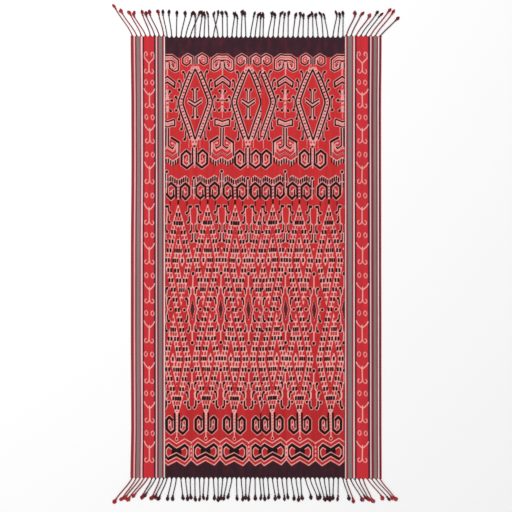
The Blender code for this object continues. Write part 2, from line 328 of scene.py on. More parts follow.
class Chart:
    """How far each point of a cloth lies from the tied patterns, in bundles, below zero inside."""

    def __init__(self, across, along, sway):
        self.across, self.along = across, along
        grid_u, grid_v = np.meshgrid(across, along)
        self.u, self.v = sway(grid_u, grid_v)
        self.tones = np.full((3,) + grid_u.shape, CHART_FAR)
        self.place = (0.0, 0.0)
        self.flips = ((1, 1),)

    def at(self, u, v, flips=((1, 1),)):
        """Sets where the next shapes go, and the ways in which they are turned over."""
        self.place, self.flips = (u, v), flips
        return self

    def window(self, points, margin):
        """The rows and columns of the cloth that these points can reach."""
        us, vs = [p[0] for p in points], [p[1] for p in points]
        left, right = np.searchsorted(self.across, (min(us) - margin, max(us) + margin))
        above, below = np.searchsorted(self.along, (min(vs) - margin, max(vs) + margin))
        return slice(above, below), slice(left, right)

    def paint(self, tone, points, reach, distance):
        """Lays a shape in one tone over the others. RED only takes the others away."""
        for flip_u, flip_v in self.flips:
            placed = [(self.place[0] + flip_u * u, self.place[1] + flip_v * v) for u, v in points]
            rows, columns = self.window(placed, reach + CHART_FAR)
            if rows.start >= rows.stop or columns.start >= columns.stop:
                continue
            far = distance(self.u[rows, columns], self.v[rows, columns], placed)
            for index in (PALE, INK, DARK):
                seen = self.tones[index, rows, columns]
                if index == tone:
                    np.minimum(seen, far, out=seen)
                else:
                    np.maximum(seen, -far, out=seen)

    def line(self, tone, points, width=INK_LINE):
        """A line through points."""
        half = width / 2
        self.paint(tone, points, half, lambda u, v, placed: to_line(u, v, placed) - half)

    def area(self, tone, points, least=-CHART_FAR):
        """A filled outline. With least near zero the tone is a thin wash."""
        self.paint(tone, points, 0.0, lambda u, v, placed: np.maximum(to_area(u, v, placed), least))

    def dot(self, tone, u, v, wide=HEAD, tall=None):
        """An oval by its half width and half height."""
        tall = wide if tall is None else tall

        def to_dot(grid_u, grid_v, placed):
            shape = np.hypot((grid_u - placed[0][0]) / wide, (grid_v - placed[0][1]) / tall)
            return (shape - 1) * min(wide, tall)

        self.paint(tone, [(u, v)], max(wide, tall), to_dot)

    def box(self, tone, u, v, wide, tall):
        """A box by its middle, its width and its height."""
        half_u, half_v = wide / 2, tall / 2

        def to_box(grid_u, grid_v, placed):
            out_u = np.abs(grid_u - placed[0][0]) - half_u
            out_v = np.abs(grid_v - placed[0][1]) - half_v
            return np.maximum(out_u, out_v)

        self.paint(tone, [(u, v)], max(half_u, half_v), to_box)

    def outlined(self, lines=(), heads=(), width=INK_LINE, rim=RIM):
        """Ink lines and round heads, all with one pale outline. width may differ from line to line."""
        widths = width if isinstance(width, tuple) else (width,) * len(lines)
        for points, wide in zip(lines, widths):
            self.line(PALE, points, wide + 2 * rim)
        for head in heads:
            self.dot(PALE, head[0], head[1], HEAD + rim)
        for points, wide in zip(lines, widths):
            self.line(INK, points, wide)
        for head in heads:
            self.dot(INK, head[0], head[1], HEAD)


def to_line(u, v, points):
    """Distance to a line through points."""
    nearest = np.full(u.shape, 1e9)
    for (u0, v0), (u1, v1) in zip(points, points[1:]):
        du, dv = u1 - u0, v1 - v0
        share = np.clip(((u - u0) * du + (v - v0) * dv) / max(du * du + dv * dv, 1e-9), 0, 1)
        np.minimum(nearest, np.hypot(u - u0 - share * du, v - v0 - share * dv), out=nearest)
    return nearest


def to_area(u, v, points):
    """Signed distance to a closed outline, below zero inside."""
    inside = np.zeros(u.shape, bool)
    for (u0, v0), (u1, v1) in zip(points, points[1:] + points[:1]):
        if v0 != v1:
            crossed = (v0 > v) != (v1 > v)
            inside ^= crossed & (u < (u1 - u0) * (v - v0) / (v1 - v0) + u0)
    return np.where(inside, -1, 1) * to_line(u, v, points + points[:1])


BOTH = ((1, 1), (-1, 1))


def whole(points):
    """The outline of a shape from the half of it on one side of its middle."""
    return points + [(-u, v) for u, v in reversed(points)]


def hook(chart, head, stem, width=1.3):
    """A curled hook: a stem that ends in a round head."""
    chart.outlined(lines=[[head] + list(stem)], heads=[head], width=width)


def dashes(chart, tone, v, groups, flip):
    """A row of short dashes in groups, each given by its middle and its number of dashes."""
    wide, tall = (DASH_WIDE, DASH_TALL) if tone == INK else (RED_DASH_WIDE, RED_DASH_TALL)
    for middle, count, *close in groups:
        step = CLOSE_STEP if close else PAIR_STEP if count < 3 else GROUP_STEP
        for i in range(count):
            place = flip * (middle + step * (i - (count - 1) / 2))
            chart.box(tone, place, v, CLOSE_WIDE if close else wide, tall)


# The rhomb figure, from the tip of its inner line. Squares stand along the middle of its frame.
FRAME_LINE = 1.55
SQUARE_STEP = 3.15
RHOMB_INNER = [(0, 0.3), (2.7, 6), (8.3, 20), (11.9, 30), (12.3, 34), (10.9, 38.5), (4.4, 57), (0.3, 70)]
RHOMB_OUTER = [
    (5.6, 2.4), (10.5, 13.5), (14.2, 23.5), (16.9, 31.5), (16.7, 35.4), (14.4, 43), (9.9, 56), (5.3, 69.4),
]
RHOMB_MIDDLE = [
    (3.0, 1.0), (6.6, 10), (11.2, 22), (14.4, 31), (14.5, 34.5), (12.6, 41), (7.3, 56), (2.9, 70),
]


def along_line(points, step):
    """Points every step along the height of a line."""
    v = points[0][1]
    while v < points[-1][1]:
        for (u0, v0), (u1, v1) in zip(points, points[1:]):
            if v0 <= v <= v1 and v1 > v0:
                yield u0 + (u1 - u0) * (v - v0) / (v1 - v0), v
                break
        v += step


def rhomb_frame(chart, u, v):
    """The double frame of the rhomb, with squares in two tones along it."""
    chart.at(u, v, BOTH)
    chart.line(PALE, RHOMB_INNER, FRAME_LINE + 2 * RIM)
    chart.line(PALE, RHOMB_OUTER, FRAME_LINE + 2 * RIM)
    chart.area(PALE, [(-0.4, -2.8), (3.4, -3.0)] + RHOMB_OUTER + [(-0.4, 75)] + RHOMB_INNER[::-1])
    chart.line(INK, RHOMB_INNER, FRAME_LINE)
    chart.line(INK, RHOMB_OUTER, FRAME_LINE)
    for i, (square_u, square_v) in enumerate(along_line(RHOMB_MIDDLE, SQUARE_STEP)):
        chart.box(INK if i % 2 else RED, square_u, square_v, 1.6, 1.55)
    for u_red, v_red in ((0, -3.0), (2.2, -1.8), (3.9, -3.4), (2.0, -4.6)):
        chart.box(RED, u_red, v_red, 1.4, 1.1)


def rhomb_hooks(chart, u, v):
    """The hooks along the outside of the rhomb."""
    chart.at(u, v, BOTH)
    hook(chart, (11.8, 2.6), [(10.1, 4.4), (10.2, 9.4)])
    hook(chart, (15.7, 11.3), [(14.0, 13.4), (14.2, 18.6)])
    hook(chart, (16.1, 20.1), [(15.0, 21.8)])
    hook(chart, (19.4, 27.8), [(18.3, 29.4), (18.2, 39.4), (19.2, 41.0)])
    chart.outlined(heads=[(19.2, 41.0)])
    hook(chart, (16.3, 49.8), [(15.7, 47.4), (15.6, 43.6)])
    hook(chart, (13.9, 59.7), [(13.1, 58.0), (13.1, 53.4)])
    hook(chart, (10.7, 70.0), [(9.9, 68.8), (9.8, 61.6)])


def rhomb_heart(chart, u, v):
    """What fills the rhomb: a curled post on two nested chevrons, and a post below them."""
    chart.at(u - 0.35, v, BOTH)
    chevrons = [[(6.4, 29.8), (0, 34.1)], [(6.4, 33.2), (0, 37.9)]]
    posts = [[(2.5, 20.4), (1.3, 21.8), (1.3, 31.4)], [(1.3, 38.8), (1.3, 47.4), (2.4, 48.4)]]
    widths = (1.4, 1.4, 1.05, 1.05)
    chart.outlined(lines=chevrons + posts, heads=[(2.6, 20.4), (2.5, 48.3)], width=widths, rim=0.6)
    chart.line(PALE, [(0, 20.8), (0, 32.4)], 1.4)
    chart.line(PALE, [(0, 39.4), (0, 50.2)], 1.4)
    chart.line(PALE, [(6.6, 31.5), (0, 36.0)], 0.9)


def crown_spirals(chart, u, v):
    """The pair of small six-sided spirals above a rhomb."""
    chart.at(u, v, BOTH)
    ring = [(2.0, -5.0), (2.0, -11.8), (7.2, -15.0), (12.1, -11.9), (12.1, -6.2), (8.4, -4.0), (5.1, -6.0)]
    chart.area(PALE, ring)
    chart.outlined(lines=[ring + [(4.7, -9.0)]], width=1.35)
    chart.line(RED, [(6.0, -10.6), (7.3, -12.2), (10.0, -10.5), (9.9, -7.4), (8.3, -6.2), (6.6, -7.4)], 1.15)
    chart.line(RED, [(6.6, -7.4), (6.9, -9.6), (8.2, -9.4)], 1.15)
    chart.line(PALE, [(0.9, -11.6), (0.9, -4.6)], 0.8)
    chart.line(INK, [(0.0, -11.2), (0.0, -4.8)], 1.1)
    chart.line(INK, [(2.0, -5.0), (2.0, -11.8)], 1.3)


def foot_spirals(chart, u, v):
    """The post below a rhomb and the two large spirals that it stands on."""
    chart.at(u - 0.6, v, BOTH)
    ring = [(1.9, 94.6), (7.4, 98.8), (12.8, 94.6), (12.9, 85.4), (8.2, 81.1), (4.2, 85.0)]
    post, tail = [(1.9, 79.0), (1.9, 94.6)], [(4.2, 85.0), (4.2, 93.2)]
    chart.area(RED, ring + tail[1:])
    chart.outlined(lines=[ring, post, tail], width=(2.25, 1.5, 1.5))
    eye = [(5.7, 94.2), (5.7, 86.0), (8.1, 83.6), (11.0, 86.4), (11.0, 93.6), (7.6, 96.3), (5.7, 94.2)]
    chart.line(PALE, eye, 0.9)
    chart.line(INK, [(9.9, 86.6), (9.0, 88.8)], 1.3)
    chart.line(PALE, [(7.9, 87.6), (8.9, 91.4), (7.2, 92.8), (5.9, 91.4)], 0.9)
    chart.area(PALE, whole([(3.3, 71.2), (2.6, 76.6)]))
    chart.line(PALE, [(0, 76.5), (0, 98.4)], 1.3)
    chart.dot(RED, 1.5, 73.0, 0.9, 1.3)
    chart.dot(INK, 0, 77.2, 1.0, 1.2)
    for step in range(5):
        chart.box(RED, 0, 81.6 + 3.8 * step, 0.9, 0.9)
    chart.line(PALE, [(5.6, 71), (5.6, 79)], 0.6)


def rhomb(chart, u, v):
    """The whole rhomb but for its heart, from its crown to its foot."""
    crown_spirals(chart, u, v)
    rhomb_hooks(chart, u, v)
    rhomb_frame(chart, u, v)
    foot_spirals(chart, u, v)


# The arch figures stand between the rhombs. They are drawn from the top of the cap.
def arch_cap(chart, u, v):
    """A cap with two inward curls on a post, and a chevron band below it."""
    chart.at(u, v, BOTH)
    cap = [
        (0, 0.6), (5.1, 0.2), (11.2, 4.6), (11.3, 14.6), (8.0, 16.3), (5.6, 15.6), (2.5, 13.4), (2.1, 9.0),
    ]
    chart.area(PALE, whole(cap))
    chart.outlined(lines=[cap], width=1.35)
    chart.line(RED, [(0, 3.1), (5.0, 2.8), (9.0, 5.8), (9.0, 12.8), (6.6, 14.2)], 1.0)
    chart.line(RED, [(1.6, 7.6), (5.0, 7.6), (6.8, 9.6), (6.7, 11.6)], 1.2)
    chart.line(RED, [(4.4, 12.4), (5.4, 13.4)], 1.2)
    chart.line(INK, [(0, 5.9), (3.6, 5.3), (6.5, 6.1), (7.6, 7.8)], 1.15)
    chart.line(INK, [(4.5, 9.4), (5.7, 10.3), (6.0, 11.8)], 0.95)
    chart.line(PALE, [(3.3, 7.8), (3.7, 10.6), (5.0, 13.0)], 0.9)
    chart.dot(INK, 0, 6.3, 1.5, 0.9)
    chart.line(PALE, [(0, 7.4), (0, 21.0)], 1.1)
    band = [(0, 21.5), (7.8, 27.0), (7.3, 32.2), (0, 27.1)]
    chart.area(PALE, whole(band))
    chart.outlined(lines=[band], width=1.6)
    chart.line(RED, [(0, 24.4), (5.8, 28.6)], 0.9)


def arch_plant(chart, u, v):
    """A small plant with a cross bar, and a bow shaped band below it."""
    chart.at(u - 0.1, v, BOTH)
    chart.line(PALE, [(0, 30.4), (0, 33.0)], 0.8)
    chart.outlined(lines=[[(0, 33.6), (0, 34.4)]], width=0.9, rim=0.45)
    chart.area(PALE, whole([(0, 35.0), (0.5, 38.0), (1.2, 41.2), (2.2, 44.6), (0, 44.8)]))
    chart.outlined(lines=[[(2.7, 36.5), (1.7, 38.2), (1.5, 39.6)]], heads=[(2.75, 36.4)], width=0.9, rim=0.6)
    chart.line(PALE, [(0, 35.0), (0, 40.0)], 1.2)
    chart.outlined(lines=[[(1.4, 45.9), (4.0, 45.6)]], heads=[(4.6, 45.5)], width=1.0, rim=0.75)
    chart.line(INK, [(0, 46.0), (1.6, 46.0)], 0.8)
    chart.outlined(lines=[[(1.5, 53.4), (2.8, 55.6)]], heads=[(3.1, 55.9)], width=0.9, rim=0.62)
    chart.line(PALE, [(0, 48.2), (0, 52.0)], 2.5)
    chart.line(PALE, [(0, 52.0), (0, 57.0)], 1.4)
    chart.line(PALE, [(0, 58.4), (0, 63.6)], 0.7)
    chart.dot(RED, 0, 50.0, 0.9, 0.9)
    band = [(0, 66.9), (6.6, 64.3), (7.3, 65.4), (7.3, 70.4), (4.2, 70.5), (0, 72.2)]
    chart.area(PALE, whole(band))
    chart.outlined(lines=[band], width=1.4)
    chart.line(RED, [(0, 69.6), (5.6, 67.9)], 0.8)


def arch_cup(chart, u, v):
    """A post with turned feet in a deep cup, over a comb of short bars."""
    chart.at(u - 0.3, v, BOTH)
    comb = [(0, 102.4), (5.7, 106.0), (10.9, 102.2), (10.9, 106.4), (5.6, 111.4), (0, 108.0)]
    chart.area(PALE, whole(comb))
    for step in range(5):
        bar = 1.2 + 2.4 * step
        low = 103.2 + 3.6 * min(bar, 11.6 - bar) / 5.8
        chart.line(INK, [(bar, low), (bar, low + 4.1)], 1.5)
    chart.area(RED, whole([(0, 92), (4.6, 82.8), (11.8, 86.8), (11.8, 101.2), (5.8, 105.4), (0, 102.2)]))
    chart.line(PALE, [(11.8, 101.4), (5.7, 105.8), (0, 102.4)], 0.95)
    chart.line(PALE, [(9.9, 87.6), (9.9, 97.4), (5.7, 101.4), (0, 97.8)], 1.9)
    chart.line(INK, [(10.2, 97.6), (5.7, 101.5), (0, 97.8)], 0.8)
    chart.line(PALE, [(0, 93.2), (5.5, 96.4), (7.9, 93.6), (7.9, 89.6), (5.0, 87.4)], 0.9)
    chart.outlined(lines=[[(4.4, 82.8), (11.6, 86.9)], [(11.7, 86.9), (11.7, 100.4)]], width=(2.3, 1.3))
    chart.outlined(lines=[[(1.25, 73.6), (1.25, 90.8), (5.0, 93.6), (6.2, 92.1)]], width=1.35, rim=0.7)
    chart.line(PALE, [(0, 73.0), (0, 92.4)], 1.0)
    chart.dot(PALE, 5.0, 88.2, 1.1)


def arch(chart, u, v):
    """The whole arch figure, from its cap to the comb under its cup."""
    arch_cap(chart, u, v)
    arch_plant(chart, u, v)
    arch_cup(chart, u, v)


# The row of spirals over the lattice, from the foot of a column's spirals.
def spiral_pair(chart, u, v):
    """Two six-sided spirals back to back under a comb, on the tip of a lattice column."""
    chart.at(u, v, BOTH)
    comb = [(0, -13.2), (7.0, -17.2), (11.2, -14.4), (11.0, -20.2), (7.2, -23.2), (0, -19.0)]
    chart.area(PALE, whole(comb))
    for step in range(5):
        bar = 1.15 + 2.1 * step
        lift = min(bar, 14.0 - bar) / 7.0
        chart.line(INK, [(bar, -14.0 - 3.6 * lift), (bar, -17.4 - 4.2 * lift)], 1.45)
    ring = [(1.95, -10.8), (7.0, -15.0), (11.1, -11.2), (11.2, -3.2), (7.3, 0.8), (4.5, -2.2)]
    post, tail = [(2.15, -0.4), (2.15, -10.8)], [(4.75, -2.2), (4.75, -8.0)]
    chart.area(RED, ring + tail[1:])
    chart.outlined(lines=[ring, tail], width=(2.4, 1.35), rim=0.75)
    chart.line(INK, post, 1.95)
    chart.line(PALE, [(6.0, -8.8), (6.4, -7.0), (7.6, -6.4)], 0.9)
    chart.dot(PALE, 7.6, -6.4, 0.7, 0.9)
    chart.line(PALE, [(0, -13.6), (0, 0.8)], 1.8)
    chart.line(INK, [(0, 2.0), (0, 6.0)], 1.9)
    for dash in range(4):
        chart.box(INK, 0, -11.4 + 3.3 * dash, 0.9, 1.8)


def pin(chart, u, v):
    """A pin with a round head between two pairs of spirals, from its head down."""
    chart.at(u, v, BOTH)
    chart.outlined(lines=[[(1.2, 2.2), (1.2, 16.0)]], width=1.15, rim=0.35)
    chart.line(PALE, [(0, 1.0), (0, 21.0)], 0.95)
    chart.line(PALE, [(0, 10.0), (1.6, 10.0)], 0.9)
    chart.outlined(heads=[(0, 0)])


# The lattice, from the tip of a column. It is the same turned half round about its waist, and
# stretched a little below the row at which its foot starts.
WAIST = (-0.4, 105.4)
FOOT_START, FOOT_STRETCH = 148.0, 0.048
LONG_LINE, SHORT_LINE = 2.1, 2.0
COLUMN_EDGE = [
    (-0.2, 0), (-3.3, 10.2), (-5.7, 18.7), (-7.8, 27.8), (-10.0, 37.4), (-12.1, 46.3), (-14.3, 56.4),
]
COLUMN_LEFT = [(-12.1, 66.2), (-10.1, 76.1), (-7.8, 85.5), (-5.5, 95.4), (-3.4, 105.4)]
COLUMN_RIGHT = [
    (2.6, 105.4), (2.6, 103.2), (3.3, 102.2), (4.8, 95.4), (7.2, 85.5), (9.4, 76.1), (11.8, 66.2),
]
LONG_RED_LINE = [
    (0, 23.0), (-7.1, 56.4), (-5.3, 66.2), (-3.2, 76.2), (-1.2, 85.5), (0.9, 95.2), (2.9, 105.6),
]
SHORT_RED_LINE = [(0, 23.0), (3.2, 37.4), (5.3, 46.5), (7.2, 56.4), (5.7, 62.5), (3.6, 73.0)]
WEDGE_FILL = [(2.3, 57.6), (3.9, 62.6), (5.5, 57.6), (6.0, 62.0), (4.0, 76.0)]
RED_PEAK = [(0, 22.5), (-1.3, 29.0), (0, 30.8), (1.2, 29.0)]
RED_WEDGE = [(-0.1, 52.0), (0.7, 52.6), (2.9, 62.3), (4.0, 72.6), (3.6, 76.0), (2.6, 70.8), (0.6, 61.8)]

# The rows of the figures in the lattice's gaps. The lower knob is a little smaller.
KNOB_ROW, LOW_KNOB_ROW, LOW_CROOK_ROW = 69.7, 166.4, 197.6
LOW_KNOB_SIZE = 0.88

# The lattice's rows of dashes: each row with the middles and numbers of its groups. The third
# value of a group marks narrow dashes that stand close together.
INK_ROWS = (
    (10.2, ((0, 2),)),
    (18.7, ((0, 4),)),
    (27.8, ((-4.8, 2), (4.7, 2))),
    (37.4, ((-7.3, 2), (-0.3, 1), (6.9, 2))),
    (46.3, ((-9.4, 2), (-0.4, 4, True), (8.9, 2))),
    (56.3, ((-11.0, 2), (-3.1, 3, True), (3.8, 1), (11.1, 2))),
    (66.2, ((-8.6, 2), (-1.6, 2), (8.9, 2))),
    (76.1, ((-7.4, 2), (0.4, 2), (6.8, 2))),
    (85.5, ((-5.0, 2), (3.7, 3, True))),
    (95.4, ((-2.9, 2),)),
    (105.4, ((-0.4, 2),)),
)
RED_ROWS = (
    (5.4, ((0, 1),)),
    (14.5, ((0, 3),)),
    (23.3, ((-3.9, 2), (3.9, 2))),
    (32.8, ((-6.2, 2), (-0.1, 1), (6.0, 2))),
    (42.0, ((-8.5, 2), (-0.3, 2), (7.9, 2))),
    (51.3, ((-10.4, 2), (-3.4, 2), (2.6, 2), (9.9, 2))),
    (61.3, ((-10.4, 2), (-2.8, 2), (9.8, 2))),
    (71.2, ((-8.6, 2), (-0.8, 2), (7.9, 2))),
    (81.0, ((-6.4, 2), (3.4, 3))),
    (90.5, ((-4.0, 2), (3.5, 2))),
    (95.4, ((3.8, 1),)),
    (100.4, ((-1.7, 2),)),
)


def lower_row(row):
    """Where a row of the upper half lies again in the lower half, which is stretched at its foot."""
    below = 2 * WAIST[1] - row
    return below + FOOT_STRETCH * max(0.0, below - FOOT_START)


def lattice_column(chart, u, foot_u, v, lean):
    """One column of the lattice. lean is 1 or -1, for the way its narrow waist slants."""
    drift = (foot_u - u - 2 * WAIST[0] * lean) / (2 * WAIST[1])
    for turn in (1, -1):
        def turned(points):
            if turn == -1:
                points = [(2 * WAIST[0] - a, lower_row(b)) for a, b in points]
            return [(lean * a + drift * b, b) for a, b in points]

        chart.at(u, v)
        right = [(-a, b) for a, b in COLUMN_EDGE[::-1]]
        chart.area(PALE, turned(COLUMN_EDGE + COLUMN_LEFT + COLUMN_RIGHT + right))
        chart.line(RED, turned(LONG_RED_LINE), LONG_LINE)
        chart.line(RED, turned(SHORT_RED_LINE), SHORT_LINE)
        for wedge in (RED_WEDGE, WEDGE_FILL, RED_PEAK):
            chart.area(RED, turned(wedge))
        for tone, rows in ((INK, INK_ROWS), (RED, RED_ROWS)):
            for row_v, groups in rows:
                if turn == -1:
                    groups = [(2 * WAIST[0] - group[0], *group[1:]) for group in groups]
                    row_v = lower_row(row_v)
                chart.at(u + drift * row_v, v)
                dashes(chart, tone, row_v, groups, lean)


def gap_crooks(chart, u, v):
    """The crooked hooks that hang between two column tips."""
    chart.at(u + 0.2, v, BOTH)
    lines = [
        [(2.8, 2.3), (4.5, 1.7), (4.8, 7.0), (6.5, 8.6)],
        [(4.6, 12.2), (4.4, 17.0), (5.6, 18.3)],
        [(2.2, 20.4), (2.1, 26.2), (3.3, 27.7)],
        [(1.25, 29.8), (1.25, 36.4), (2.1, 37.1)],
    ]
    heads = [(6.7, 8.7), (2.7, 2.5), (5.7, 18.3), (3.4, 27.7), (2.2, 37.2)]
    chart.outlined(lines=lines, heads=heads, width=(1.4, 1.4, 1.4, 1.25), rim=0.66)
    chart.line(INK, [(6.4, -2.8), (6.4, 1.4)], 1.15)
    chart.line(PALE, [(3.4, 4.6), (3.5, 10.4), (3.2, 13.6), (3.0, 18.4), (1.6, 20.6)], 0.95)
    chart.line(PALE, [(0, 29.0), (0, 38.2)], 1.0)
    chart.dot(PALE, 0, 44.8, 0.7, 1.2)


def gap_knob(chart, u, v, size=1.0):
    """A knob on a pale line, with curled hooks below it."""
    chart.at(u, v, BOTH)
    chart.dot(PALE, 0, 0, 2.15, 2.6)
    chart.dot(INK, 0, 0, 1.45, 1.9)
    chart.line(PALE, [(0, 2.0), (0, 12.6)], 1.1)
    gap_curls(chart, size)


def gap_curls(chart, size=1.0):
    """The two curled hooks on each side of a gap, and the pale line along them."""
    def sized(points):
        return [(size * a, size * b) for a, b in points]

    lines = [
        sized([(3.9, 14.6), (2.9, 15.8), (2.7, 20.4)]),
        sized([(6.1, 24.6), (5.0, 26.0), (4.6, 30.8)]),
    ]
    chart.outlined(lines=lines, heads=sized([(4.0, 14.5), (6.2, 24.5)]), width=1.45, rim=0.66)
    spine = [(0, 12.2), (1.6, 15.6), (1.8, 19.0), (3.4, 24.0), (3.5, 30.0), (5.0, 35.6)]
    chart.line(PALE, sized(spine), 0.9)


def gap_lozenge(chart, u, v):
    """The long dark lozenge between two waists, with hooks above and below it."""
    quarters = ((1, 1), (-1, 1), (1, -1), (-1, -1))
    chart.at(u, v, quarters)
    chart.area(PALE, [(0, 12.0), (2.95, 0), (0, -12.0), (-2.95, 0)])
    chart.area(INK, [(0, 10.8), (2.3, 0), (0, -10.8), (-2.3, 0)])
    chart.area(DARK, [(0, 9.0), (1.6, 0), (0, -9.0), (-1.6, 0)], -0.16)
    chart.outlined(heads=[(8.0, 0)])
    chart.at(u, v - 35.7, BOTH)
    gap_curls(chart)
    chart.at(u, v + 36.1, ((1, -1), (-1, -1)))
    gap_curls(chart)
    chart.at(u, v + 33.4, ((1, -1),))
    chart.dot(PALE, 0, 0, 2.15, 2.5)
    chart.dot(INK, 0, 0, 1.45, 1.8)
    chart.line(PALE, [(0, 2.0), (0, 9.6)], 1.2)


def lower_crooks(chart, u, v):
    """The hooks between two lower column tips, with heads that turn in under them."""
    chart.at(u, v, BOTH)
    crook = [(4.0, -0.8), (4.0, 4.4), (2.7, 6.0)]
    chart.outlined(lines=[crook], heads=[(6.7, 0.4), (2.7, 6.1)], width=1.7, rim=0.75)
    chart.line(PALE, [(2.4, -9.0), (2.5, -4.0), (5.3, -0.6), (5.4, 2.6)], 0.85)


def lattice(chart, places, v):
    """The columns of dashes, and the figures that stand in the gaps between them."""
    tip = whole([(4.2, 198.0), (2.6, 204.5), (1.6, 209.5), (1.3, 212.5)])
    for foot_u in places.feet:
        chart.at(foot_u, v).area(PALE, tip)
    for i, (u, foot_u) in enumerate(zip(places.columns, places.feet)):
        lattice_column(chart, u, foot_u, v, 1 if i % 2 == 0 else -1)
    for u, foot_u in zip(places.gaps, places.gap_feet):
        drift = (foot_u - u) / (2 * WAIST[1])
        gap_crooks(chart, u, v)
        gap_knob(chart, u + drift * KNOB_ROW, v + KNOB_ROW)
        gap_lozenge(chart, u + drift * WAIST[1], v + WAIST[1])
        gap_knob(chart, u + drift * LOW_KNOB_ROW, v + LOW_KNOB_ROW, LOW_KNOB_SIZE)
        lower_crooks(chart, foot_u, v + LOW_CROOK_ROW)


# The rows under the lattice, from the tips of its columns.
def low_spirals(chart, u, v):
    """Two spirals on the foot of a lattice column, and a small ring that hangs below them."""
    chart.at(u, v, BOTH)
    ring = [(2.2, 14.6), (6.1, 17.8), (10.2, 13.8), (10.2, 4.7), (7.5, 1.7), (4.9, 4.4)]
    post, tail = [(2.2, -2.0), (2.2, 14.4)], [(4.9, 4.4), (4.8, 12.2)]
    chart.area(RED, ring + tail[1:])
    chart.outlined(lines=[ring, tail], width=(2.6, 1.4), rim=0.75)
    chart.line(INK, post, 2.0)
    chart.line(PALE, [(6.1, 7.2), (6.3, 8.8), (7.1, 9.6)], 0.9)
    chart.dot(PALE, 7.2, 9.6, 0.7, 0.9)
    chart.line(PALE, [(0, -3.0), (0, 15.0)], 2.2)
    chart.line(PALE, [(0, 15.0), (0, 22.0)], 1.0)
    for step in range(5):
        chart.box(RED, 0, 0.4 + 3.2 * step, 0.9, 1.3)
    chart.dot(PALE, 0, 23.2, 1.7, 2.1)
    chart.dot(INK, 0, 23.2, 0.95, 1.2)


def bow(chart, u, v):
    """A bow tie with two eyes."""
    chart.at(u, v, BOTH)
    rim = [(0, 5.6), (8.2, 0.3), (12.6, 4.4), (12.5, 14.9), (8.4, 19.2), (0, 14.4)]
    chart.area(INK, whole(rim))
    chart.line(PALE, rim, 1.0)
    chart.area(RED, [(5.0, 7.2), (8.2, 5.2), (10.2, 7.5), (10.2, 11.5), (8.6, 14.4), (5.0, 12.4)])
    chart.line(PALE, [(5.0, 7.1), (8.2, 4.9), (10.3, 7.4), (10.3, 11.6), (8.6, 14.8), (0, 10.1)], 0.95)


def bow_frame(chart, u, v, reach, side):
    """Half of the zigzag frame of a bow over the dark end, with a dashed post at its side."""
    low = [(0, 18.2), (8.5, 23.1), (reach, 17.4)]
    chart.at(u, v, ((side, 1),))
    chart.area(DARK, [(-1, 19.2)] + [(a, b + 1.0) for a, b in low] + [(reach + 0.5, 45), (-1, 45)])
    chart.line(PALE, [(0, 1.2), (8.2, -3.9), (reach, 0.4)], 1.0)
    chart.line(PALE, low, 0.95)
    chart.line(PALE, [(reach, 0.8), (reach, 17.2)], 1.3)
    for step in range(4):
        chart.box(RED, reach, 2.4 + 4.2 * step, 1.4, 1.6)


Places = namedtuple("Places", "rhombs arches columns gaps feet gap_feet")

# Where the figures of each patterned width stand, across the shawl.
LEFT_PLACES = Places(
    rhombs=(195.1, 248.7),
    arches=(167.3, 222.3),
    columns=(178.4, 207.7, 234.9, 262.0),
    gaps=(163.6, 193.5, 221.5, 248.6),
    feet=(176.6, 205.9, 234.5, 263.6),
    gap_feet=(162.0, 191.5, 220.2, 248.6),
)
RIGHT_PLACES = Places(
    rhombs=(258.6, 313.0),
    arches=(285.4, 342.6),
    columns=(246.4, 272.6, 299.2, 329.0),
    gaps=(258.8, 285.5, 313.7, 343.4),
    feet=(245.0, 272.5, 299.8, 330.6),
    gap_feet=(258.0, 285.4, 314.0, 344.6),
)


def panel_chart(across, along, places):
    """The whole chart of one patterned width, with its figures at their places."""
    chart = Chart(across, along, sway)
    chart.at(0, 0)
    left, right = across[0] - 5, across[-1] + 5
    band = [(left, BAND_START), (right, BAND_START), (right, BAND_FOOT), (left, BAND_FOOT)]
    chart.area(DARK, band)
    for u in places.rhombs:
        rhomb(chart, u, RHOMB_ROW)
        if across[0] < u < across[-1]:
            rhomb_heart(chart, u, RHOMB_ROW)
    for u in places.arches:
        arch(chart, u, ARCH_ROW)
    for u in places.columns:
        spiral_pair(chart, u, SPIRAL_ROW)
    for u in places.rhombs:
        pin(chart, u - 1.0, SPIRAL_ROW - 20.0)
    for u in places.arches:
        pin(chart, u - 0.5, SPIRAL_ROW - 26.3)
    lattice(chart, places, LATTICE_ROW)
    spacing = [b - a for a, b in zip(places.feet, places.feet[1:])]
    for u, before, after in zip(places.feet, [OUTER_SPACING] + spacing, spacing + [OUTER_SPACING]):
        bow_frame(chart, u, BOW_ROW, before / 2, -1)
        bow_frame(chart, u, BOW_ROW, after / 2, 1)
        bow(chart, u, BOW_ROW)
        low_spirals(chart, u, LOW_SPIRAL_ROW)
    return chart


def sway(u, v):
    """The small shifts of the tied bundles, as they were stretched on the loom."""
    shifted = u + 0.25 * np.sin(v / 23.0 + u / 31.0) + 0.12 * np.sin(v / 7.3 + u / 5.1)
    raised = v + 0.35 * np.sin(u / 11.0 + 1.0) + 0.25 * np.sin(u / 4.3)
    return shifted, raised


def left_chart(across, along):
    return panel_chart(across, along, LEFT_PLACES)


def right_chart(across, along):
    return panel_chart(across, along, RIGHT_PLACES)


